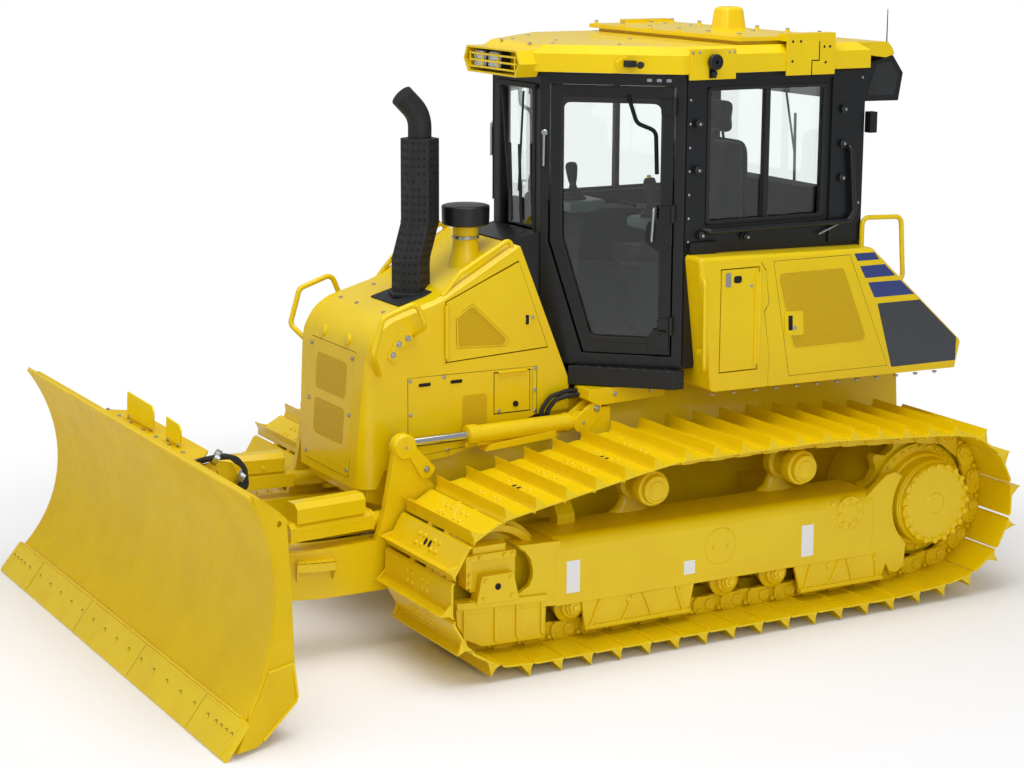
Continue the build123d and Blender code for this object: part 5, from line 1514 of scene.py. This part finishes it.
        # rain rail along the roof, front headers and the front post plates
        rails.box((x - 2, x + 14), (560, 1440), (2770, 2806))
        head = self.on_door([(20, 2748), (740, 2748), (740, 2806), (20, 2806)], 10, 14)
        for s in (560, 610, 660):
            self.on_door(round_corners([(s - 13, 2768), (s + 13, 2768), (s + 13, 2784), (s - 13, 2784)], 7),
                         11, 3, steel)
        rails.merge(head)
        self.on_door([(0, 2100), (46, 2160), (46, 2800), (0, 2800)], 8, 10, rails)
        steel.turned(self.door_point(22, 2500, 8), (self.pillar[1] - self.front[1],
                                                    self.front[0] - self.pillar[0], 0),
                     [(0, 16), (8, 16), (12, 10)], 16)
        steel.rod(self.door_point(22, 2500, 22), self.door_point(20, 2330, 22), 7)
        for name, shape, finish, edge in (("window_rubber", rubber, RUBBER, 1.5),
                                          ("cab_knobs", knobs, POWDER, 1), ("cab_rails", rails, POWDER, 2),
                                          ("cab_fasteners", steel, ZINC, 0.5)):
            keep(name, shape.both_sides(), finish, edge=edge)
        wiper = Shape()
        for x0, x1 in ((-120, -40), (110, 60)):
            wiper.rod((x0, -52, 2700), (x1, -50, 2180), 6)
            wiper.rod((x1 - 14, -40, 2420), (x1 + 10, -40, 2010), 8)
        wiper.box((-210, 210), (-44, -30), (2716, 2742))
        keep("wipers", wiper, RUBBER, edge=1)
        screen = surround((196, 1934, 2746), (172, 1958, 2722), -20, -34)
        keep("windscreen_rubber", screen, RUBBER, edge=1.5)
        rear = surround((630, 2030, 2750), (596, 2064, 2716), self.rear_y - 6, self.rear_y + 8)
        rear.rod((0, self.rear_y + 16, 2730), (120, self.rear_y + 16, 2300), 6)
        rear.rod((120, self.rear_y + 14, 2520), (130, self.rear_y + 14, 2100), 8)
        keep("rear_window_rubber", rear, RUBBER, edge=1.5)

    def lamps(self) -> None:
        """Build the front lamps behind their wire guard, the corner lamps and the rear lamps."""
        shells, cups, lenses, wires, dark = Shape(), Shape(), Shape(), Shape(), Shape()
        ahead = (0, -1, 0)
        for x in self.lamps_x:
            box = round_corners([(x - 62, 2800), (x + 62, 2800), (x + 62, 2900), (x - 62, 2900)], 22)
            shells.prism(box, "y", -150, -100)
            cups.prism([(x + (a - x) * 0.86, 2850 + (z - 2850) * 0.82) for a, z in box], "y", -152, -149)
            for d in (-28, 28):
                cups.turned((x + d, -151, 2850), ahead, [(0, 26), (3, 22), (3.4, 6)], 20)
            lenses.prism([(x + (a - x) * 0.9, 2850 + (z - 2850) * 0.88) for a, z in box], "y", -163, -157)
        for z in (2812, 2846, 2880):
            wires.tube([(-250, -150, z), (-246, -176, z), (246, -176, z), (250, -150, z)], 5.5, 16, 10)
        for x in (-238, -110, 60, 238):
            wires.rod((x, -176, 2806), (x, -176, 2888), 5, 10)
        dark.prism([(-246, 2905), (246, 2905), (276, 2850), (240, 2792), (-240, 2792), (-276, 2850)],
                   "y", -86, -82)
        for side in (1, -1):
            shells.turned((side * 812, 640, 2872), (side, 0, 0),
                          [(0, 30), (10, 32), (14, 40), (36, 40), (40, 36)], 28)
            cups.turned((side * 850, 640, 2872), (side, 0, 0), [(0, 33), (1.6, 33), (2, 8)], 28)
            shells.box((side * 812 - 4, side * 812 + 4), (618, 662), (2790, 2850))
            shells.turned((side * 820, 640, 2814), (side, 0, 0), [(0, 16), (16, 16), (20, 10)], 6)
            shells.turned((side * 560, 1920, 2700), Y, [(0, 30), (14, 36), (20, 48), (60, 50), (64, 46)], 28)
            lenses.turned((side * 560, 1983, 2700), Y, [(0, 43), (3, 40), (5, 20)], 28)
            shells.box((side * 775 - 25, side * 775 + 25), (1655, 1700), (2470, 2580))
        keep("lamp_shells", shells, POWDER, edge=2, replaces=["work_lamps"])
        keep("lamp_reflectors", cups, REFLECTOR, edge=0)
        keep("lamp_lenses", lenses, LENS, edge=1)
        keep("lamp_wire_guard", wires, ENAMEL, edge=0)
        keep("lamp_housing_back", dark, SHADE_BLACK, edge=0)

    def roof(self) -> None:
        """Dress the roof: deck bolts, lifting lugs, connectors, seams, vents and the antennas."""
        bolts, lugs, dark, black = Shape(), Shape(), Shape(), Shape()
        for y in (872, 1378):
            for x in (-700, -420, -140, 140, 420, 700):
                lugs.turned((x, y, self.deck_z - 1), Z, [(0, 12), (14, 12)], 14)
                bolts.bolt((x, y, self.deck_z + 12), Z, 11)
        for x in (-700, -560, -300, 300, 560, 700):
            bolts.bolt((x, 1240, self.deck_z), Z, 10)
        for x, y in ((-150, -40), (150, -40), (-210, 60), (210, 60), (0, 200), (-470, 300),
                     (470, 300), (60, 620)):
            bolts.bolt((x, y, 2944), Z, 10)
        lug = round_corners([(200, 2838), (310, 2838), (310, 2872), (280, 2890), (230, 2890),
                             (200, 2872)], 10)
        lugs.add_sides(Shape().prism(lug, "x", 598, 612))
        for side in (1, -1):
            black.box((side * 640 - 26, side * 640 + 26), (236, 282), (2846, 2878))
            black.turned((side * 690, 300, 2860), (side * 0.7, -0.7, 0),
                         [(0, 12), (34, 12), (36, 18), (50, 18)], 16)
            for y, z in ((1130, 2960), (1180, 2960), (1130, 2860), (1330, 2930), (1365, 2930), (1340, 2850)):
                dark.turned((side * 811, y, z), (side, 0, 0), [(0, 7), (2, 7)], 10)
            for box in (((1250, 1256), (2788, 2860)), ((1250, 1300), (2858, 2864)),
                        ((1296, 1302), (2860, 2960))):
                dark.box(sorted((side * 811, side * 812.6)), *box)
            for y, z in ((520, 2925), (560, 2925), (740, 2925), (770, 2925)):
                bolts.bolt((side * 812, y, z - 6), (side, 0, 0), 7)
        lugs.turned((690, 1210, self.deck_z - 1), Z, [(0, 12), (14, 12)], 14)
        keep("roof_bolts", bolts, ZINC, edge=0.5)
        keep("roof_lugs", lugs, ENAMEL, edge=1)
        keep("roof_marks", dark, SHADE_BLACK, edge=0)
        keep("roof_connectors", black, RUBBER, edge=1)
        mesh, cap = Shape(), Shape()
        panel = round_corners([(1700, 2660), (1880, 2652), (1905, 2760), (1850, 2835), (1760, 2818)], 16)
        for side in (1, -1):
            mesh.prism(panel, "x", *sorted((side * 698, side * 701)))
        cap.turned((600, 1900, 2866), Z, [(-30, 17), (8, 17), (10, 12), (30, 11), (34, 6), (60, 5), (62, 3.4),
                                           (236, 2.2)], 14)
        keep("overhang_mesh", mesh, MESH_BLACK, edge=0)
        keep("antenna", cap, RUBBER, edge=0)
        square = [(math.copysign(abs(c) ** 0.5, c), math.copysign(abs(d) ** 0.5, d))
                  for c, d in circle(40, share=0.5)]
        dome = Shape().loft([[(r * x, 1287 + r * y, z) for x, y in square] for z, r in (
            (2984, 82), (2988, 80), (3000, 78), (3080, 67), (3090, 63), (3098, 54), (3102, 38), (3102.8, 8))])
        keep("antenna_dome", dome, ENAMEL, edge=0, replaces=["gnss_dome"])

    def interior(self) -> None:
        """Build consoles, joysticks, keys, pedals, monitor, mat and the lining behind the seat."""
        console, plinth, dark, knob, hand = Shape(), Shape(), Shape(), Shape(), Shape()
        plinth.add_sides(Shape().prism(round_corners([(520, 1352), (540, 1850), (580, 1975), (700, 2000),
                                                      (1240, 1972), (1240, 1352)], 60), "x", 300, 540))
        console.add_sides(Shape().prism(round_corners([(470, 1985), (640, 1985), (700, 2015), (700, 2050),
                                                       (470, 2045)], 26), "x", 290, 560))
        hand.turned((400, 560, 2042), (0, -0.1, 1), [(0, 70), (12, 66), (22, 52), (30, 56), (40, 42),
                                                     (48, 44), (60, 26), (90, 18), (110, 24), (150, 30),
                                                     (186, 34), (206, 28), (212, 12)], 24)
        for k in range(5):
            hand.turned((360 + 34 * k, 930, 1984), Z, [(0, 15), (22, 14), (28, 9)], 14)
        hand.tube([(560, 300, 2700), (600, 330, 2560), (640, 420, 2520), (640, 430, 2300)], 11, 50)
        dark.add_sides(hand)
        plinth.prism(round_corners([(80, 1352), (60, 1900), (120, 2060), (210, 2060), (250, 1900),
                                    (230, 1352)], 40), "x", -330, -210)
        knob.turned((400, 536, 2252), (0, -0.1, 1), [(0, 12), (10, 12), (14, 6)], 12)
        dark.box((-400, 400), (600, 1500), (1351, 1360)).box((-190, -40), (50, 76), (1960, 2120))
        for x in (-150, -50, 60, 150):
            dark.prism([(64, 1380), (84, 1380), (150, 1490), (134, 1500)], "x", x - 34, x + 34)
        dark.prism([(1300, 1352), (1300, 2020), (1420, 2170), (1560, 2170), (1560, 1352)], "x", -560, 560)
        keep("consoles", console, MOULDED, edge=10, replaces=["operator_station"])
        keep("console_plinths", plinth, DARK_MOULDED, edge=10)
        keep("controls", dark, DARK_MOULDED, edge=3)
        keep("stick_button", knob, ENAMEL, edge=1)

    def cushion(self, name: str, outline: Sequence[Flat], low: float, high: float, crown: float,
                stands: Sequence[str]) -> None:
        """Make a stuffed cushion whose cover is blown tight by a cloth simulation.

        Args:
            name: of the piece.
            outline: (y, z) corners of its side view.
            low: its right side.
            high: its left side.
            crown: rounding of its edges.
            stands: CAD nodes that it replaces.
        """
        piece = stored(name, Shape().prism(round_corners(outline, crown), "x", low, high))
        bevel = piece.modifiers.new("round", "BEVEL")
        bevel.width, bevel.segments = crown * 0.6 * MM, 4
        remesh = piece.modifiers.new("even", "REMESH")
        remesh.mode, remesh.voxel_size = "VOXEL", self.cloth_cell
        mesh = bpy.data.meshes.new_from_object(piece.evaluated_get(bpy.context.evaluated_depsgraph_get()))
        piece.modifiers.clear()
        piece.data = mesh
        before = [v.co.copy() for v in mesh.vertices]
        cloth = piece.modifiers.new("cloth", "CLOTH")
        cloth.settings.use_pressure, cloth.settings.uniform_pressure_force = True, self.cloth_pressure
        cloth.settings.effector_weights.gravity = 0.0
        scene = bpy.context.scene
        for number in range(1, self.cloth_frames + 1):
            scene.frame_set(number)
        settled = piece.evaluated_get(bpy.context.evaluated_depsgraph_get())
        blown = bpy.data.meshes.new_from_object(settled)
        piece.modifiers.clear()
        scene.frame_set(1)
        piece.data = blown
        for vertex, start in zip(blown.vertices, before):
            move = vertex.co - start
            if move.length > self.cloth_bulge:
                vertex.co = start + move.normalized() * self.cloth_bulge
        finish_piece(piece, SEAT_CLOTH, "chassis", 0, stands)
        soft = piece.modifiers.new("smooth", "SMOOTH")
        soft.factor, soft.iterations = 0.5, 12

    def seat(self) -> None:
        """Build the high-backed seat: cushions, headrest and the moulded shell on its base."""
        self.cushion("seat_cushion", [(690, 1712), (690, 1812), (1150, 1800), (1150, 1712)],
                     -238, 238, 44, ["seat"])
        self.cushion("seat_back", [(1160, 1800), (1150, 2000), (1180, 2400), (1262, 2400), (1262, 1800)],
                     -228, 228, 46, [])
        self.cushion("seat_headrest", [(1172, 2430), (1178, 2610), (1252, 2600), (1250, 2430)],
                     -132, 132, 36, [])
        shell = Shape().prism(round_corners([(700, 1640), (700, 1700), (1270, 1700), (1270, 1640)], 14),
                              "x", -225, 225)
        shell.prism(round_corners([(-225, 1640), (225, 1640), (212, 2390), (-212, 2390)], 90),
                    "y", 1266, 1288)
        for x in (-70, 70):
            shell.rod((x, 1225, 2380), (x, 1215, 2450), 8)
        shell.box((-170, 170), (760, 1200), (1352, 1640))
        keep("seat_shell", shell, DARK_MOULDED, edge=6)

    def step(self) -> None:
        """Lay a tread strip with raised studs on each side step."""
        studs = Shape()
        for k in range(9):
            for r in range(3):
                s, out = 190 + 60 * k + 20 * (r % 2), 18 + 24 * r
                x, y, _ = self.door_point(s, 0, out)
                if x > 398 and y < 500:
                    studs.turned((x, y, 1299.5), Z, [(0, 8), (3.5, 6)], 8)
        keep("step_studs", studs.both_sides(), POWDER, edge=0)

    def build(self) -> None:
        """Build all of the cab's trim."""
        self.doors()
        self.windows()
        self.lamps()
        self.roof()
        self.interior()
        self.seat()
        self.step()


# ---------------------------------------------------------------- rear body
@dataclass
class RearTrim:
    """Stripes, mesh, seams, handles and bolts of the side boxes, and the trim of the machine's back."""
    half: float = 900.0
    top: Flat = (1629.0, 1875.0)
    tail: Flat = (2248.0, 1333.0)

    def flanks(self) -> None:
        """Dress both side boxes."""
        h = self.half
        stripes, panel, mesh, rims, seams, bolts, dark = (Shape() for _ in range(7))
        for outline in (((1502, 1853), (1636, 1851), (1669, 1811), (1526, 1812)),
                        ((1543, 1783), (1706, 1783), (1781, 1717), (1582, 1717)),
                        ((1600, 1692), (1816, 1689), (1914, 1607), (1646, 1608))):
            stripes.prism(outline, "x", h - 1, h + 0.8)
        panel.prism(round_corners([(1668, 1574), (1953, 1573), (2216, 1344), (2216, 1218), (1777, 1220)], 8),
                    "x", h - 1, h + 0.8)
        window = round_corners([(1010, 1787), (1440, 1789), (1612, 1378), (1125, 1375)], 34)
        mesh.prism(window, "x", h - 4, h + 0.9)
        frame_line(rims, window, h + 1.8, 8)
        rims.prism(round_corners([(1060, 1580), (1180, 1576), (1186, 1448), (1070, 1452)], 14), "x",
                   h - 2, h + 6)
        dark.prism(round_corners([(1084, 1558), (1112, 1557), (1114, 1478), (1088, 1479)], 6), "x",
                   h + 4, h + 6.6)
        door = [(985, 1850), (1475, 1850), (1750, 1231), (1102, 1236)]
        curved = [(906, 1850), (938, 1806), (962, 1634), (934, 1592), (972, 1353), (966, 1190), (968, 1190),
                  (975, 1353), (937, 1592), (965, 1634), (941, 1806), (909, 1850)]
        for line in (door, curved):
            frame_line(seams, line, h + 0.4, 2.6)
        for k in range(12):
            bolts.bolt((h - 20, 640 + 132 * k, 1184 - 0.013 * 132 * k), (0, 0, -1), 13)
        bolts.bolt((h + 6, 1126, 1490), X, 12)
        rims.tube([(h - 14, 560, 1790), (h + 28, 545, 1770), (h + 28, 552, 1330), (h - 14, 575, 1310)], 11,
                  26)
        rims.box((h - 40, h + 4), (546, 580), (1395, 1420))
        for name, shape, finish, edge in (("side_stripes", stripes, STRIPE_BLUE, 0),
                                          ("side_panels", panel, PANEL_BLACK, 0),
                                          ("side_mesh", mesh, MESH_ENAMEL, 0),
                                          ("side_rims", rims, ENAMEL, 1.5),
                                          ("side_seams", seams, SHADE_BLACK, 0),
                                          ("side_bolts", bolts, ZINC, 0.5),
                                          ("side_sockets", dark, SHADE_BLACK, 0)):
            keep(name, shape.both_sides(), finish, edge=edge)
        plate, socket = Shape(), Shape()
        plate.prism(round_corners([(690, 1736), (722, 1736), (722, 1808), (690, 1808)], 5), "x", h - 1, h + 3)
        plate.bolt((h, 850, 1733), X, 9)
        socket.prism(round_corners([(740, 1752), (790, 1752), (790, 1790), (740, 1790)], 18), "x",
                     h - 1, h + 0.8)
        for side, tag in SIDES:
            keep(f"access_plate_{tag}", plate.on_side(side), ZINC, f"access_door_{tag}", edge=1)
            keep(f"access_socket_{tag}", socket.on_side(side), SHADE_BLACK, f"access_door_{tag}", edge=0)

    def tops(self) -> None:
        """Dress the top and the back: filler caps, rear lamps, grille bolts, a grip and belly flanges."""
        caps, steel, lamps = Shape(), Shape(), Shape()
        for side in (1, -1):
            caps.turned((side * 700, 1640, 1872), Z, [(0, 40), (26, 40), (30, 34), (34, 30)], 24)
            steel.turned((side * 700, 1640, 1904), Z, [(0, 22), (18, 22), (24, 14), (40, 12), (42, 8)], 18)
            for y in (1680, 1900):
                steel.bolt((side * 780, y, 1862 - max(0, y - 1640) * 0.86), (0, 0.6, 0.8), 11)
        way = Vector((0, self.tail[0] - self.top[0], self.tail[1] - self.top[1]))
        down = way.normalized()
        out = Vector((0, -down.z, down.y))
        for x in (-590, -300, 0, 300, 590):
            for share in (0.14, 0.86):
                at = Vector((x, *self.top)) + way * share + out * 0.5
                steel.bolt(at, out, 11)
        for side in (1, -1):
            at = Vector((side * 800, *self.top)) + way * 0.55
            lamps.turned(at, out, [(-2, 44), (12, 42), (18, 34), (20, 8)], 24)
        grip = Vector((0, *self.top)) + way * 0.82
        caps.tube([grip + Vector((x, 0, 0)) + out * lift
                   for x, lift in ((-90, 0), (-90, 44), (90, 44), (90, 0))], 9, 20)
        keep("rear_caps", caps, ENAMEL, edge=1.5)
        keep("rear_steel", steel, ZINC, edge=0.5)
        keep("rear_lamps", lamps, LENS, edge=1)
        plates, bolts = Shape(), Shape()
        for side in (1, -1):
            plates.box((side * 350 - 14, side * 350 + 14), (640, 2100), (1090, 1150))
            for k in range(9):
                bolts.bolt((side * 364, 720 + 160 * k, 1120), (side, 0, 0), 13)
        for x in (-260, -130, 0, 130, 260):
            for z in (760, 1000):
                bolts.bolt((x, 2256 + (1100 - z) * 0.0739 + 1, z), (0, 1, 0.07), 18)
        keep("belly_flanges", plates, ENAMEL, edge=3)
        keep("belly_bolts", bolts, ZINC, edge=0.5)

    def build(self) -> None:
        """Build all of the rear trim."""
        self.flanks()
        self.tops()


# ---------------------------------------------------------------- studio
@dataclass
class Studio:
    """A camera at a standing eye's height, soft lights and a pale floor."""
    azimuth: float = 60.822
    elevation: float = 11.962
    roll: float = -0.286
    focal: float = 79.9
    place: tuple[float, float, float] = (10.3444, -5.8262, 3.6479)
    floor_radius: float = 12000.0
    fade: tuple[float, float] = (2.3, 4.6)     # metres from the middle over which the floor turns white
    sky: float = 0.42

    def camera(self) -> None:
        """Place the camera."""
        az, el = math.radians(self.azimuth), math.radians(self.elevation)
        back = Vector((math.sin(az) * math.cos(el), -math.cos(az) * math.cos(el), math.sin(el)))
        cam = bpy.data.objects.new("camera", bpy.data.cameras.new("camera"))
        cam.data.lens, cam.data.sensor_width = self.focal, 36.0
        cam.rotation_mode = "QUATERNION"
        cam.location = self.place
        turn = Quaternion(Z, math.radians(-self.roll))
        cam.rotation_quaternion = (-back).to_track_quat("-Z", "Y") @ turn
        bpy.context.scene.collection.objects.link(cam)
        bpy.context.scene.camera = cam

    def lamp(self, name: str, place: Point, target: Point, size: float, power: float) -> None:
        """Add a soft square lamp.

        Args:
            name: of the lamp.
            place: where it hangs, in metres.
            target: what it faces, in metres.
            size: its side in metres.
            power: in watts.
        """
        lamp = bpy.data.objects.new(name, bpy.data.lights.new(name, "AREA"))
        lamp.data.energy, lamp.data.size, lamp.data.shape = power, size, "SQUARE"
        lamp.location = place
        lamp.rotation_mode = "QUATERNION"
        lamp.rotation_quaternion = (Vector(target) - Vector(place)).to_track_quat("-Z", "Y")
        bpy.context.scene.collection.objects.link(lamp)

    def seen(self, tree: bpy.types.NodeTree) -> bpy.types.NodeSocket:
        """Find what the camera sees, straight or through glass.

        Args:
            tree: the shader's nodes.
        Returns:
            An output that is 1 there and 0 elsewhere.
        """
        path = add_node(tree, "ShaderNodeLightPath")
        rays = {0: path.outputs["Is Camera Ray"], 1: path.outputs["Is Transmission Ray"]}
        return add_node(tree, "ShaderNodeMath", rays, operation="MAXIMUM").outputs[0]

    def world(self) -> None:
        """Light the scene from a plain pale sky that the camera sees as white, also through glass."""
        world = bpy.data.worlds.new("studio")
        world.use_nodes = True
        bpy.context.scene.world = world
        tree = world.node_tree
        level = add_node(tree, "ShaderNodeMapRange", {0: self.seen(tree), 3: self.sky, 4: 1.0})
        shade = tree.nodes["Background"]
        shade.inputs[0].default_value = (1, 1, 1, 1)
        tree.links.new(level.outputs[0], shade.inputs[1])

    def floor(self) -> None:
        """Lay a pale floor that fades into the white round about."""
        shape = Shape().loft([[(x, y, z) for x, y in circle(64, self.floor_radius)] for z in (-40, -1)])
        floor = stored("studio_floor", shape)
        mat = bpy.data.materials.new("matt_white_floor")
        mat.use_nodes = True
        tree = mat.node_tree
        shader = tree.nodes["Principled BSDF"]
        shader.inputs["Roughness"].default_value = 0.9
        shader.inputs["Base Color"].default_value = (0.93, 0.93, 0.95, 1)
        shader.inputs["Specular IOR Level"].default_value = 0.1
        place = add_node(tree, "ShaderNodeTexCoord").outputs["Object"]
        reach = add_node(tree, "ShaderNodeVectorMath", {0: place}, operation="LENGTH").outputs["Value"]
        fade = add_node(tree, "ShaderNodeMapRange", {0: reach, 1: self.fade[0], 2: self.fade[1]},
                        interpolation_type="SMOOTHSTEP")
        white = add_node(tree, "ShaderNodeEmission", {0: (1, 1, 1, 1), 1: 1.0})
        part = add_node(tree, "ShaderNodeMath", {0: self.seen(tree), 1: fade.outputs[0]},
                        operation="MULTIPLY").outputs[0]
        mixed = add_node(tree, "ShaderNodeMixShader", {0: part, 1: shader.outputs[0], 2: white.outputs[0]})
        tree.links.new(mixed.outputs[0], tree.nodes["Material Output"].inputs[0])
        floor.data.materials.append(mat)

    def build(self) -> None:
        """Set up the whole studio."""
        self.camera()
        self.world()
        self.floor()
        self.lamp("overhead", (1.5, -1.0, 8.5), Z, 7.0, 480)
        self.lamp("camera_side", (10.5, -3.0, 4.5), Z, 5.0, 240)
        self.lamp("front_fill", (-2.0, -10.0, 4.5), (0, -1, 1), 5.0, 130)
        view = bpy.context.scene.view_settings
        view.view_transform = "Standard"


def main() -> None:
    """Build the machine piece by piece, then the studio."""
    logging.basicConfig(level=logging.INFO, format="%(name)s: %(message)s")
    RoundedCopies().build()
    Undercarriage().build()
    BladeTrim().build()
    HoodTrim().build()
    CabTrim().build()
    RearTrim().build()
    Studio().build()


if __name__ == "__main__":
    main()
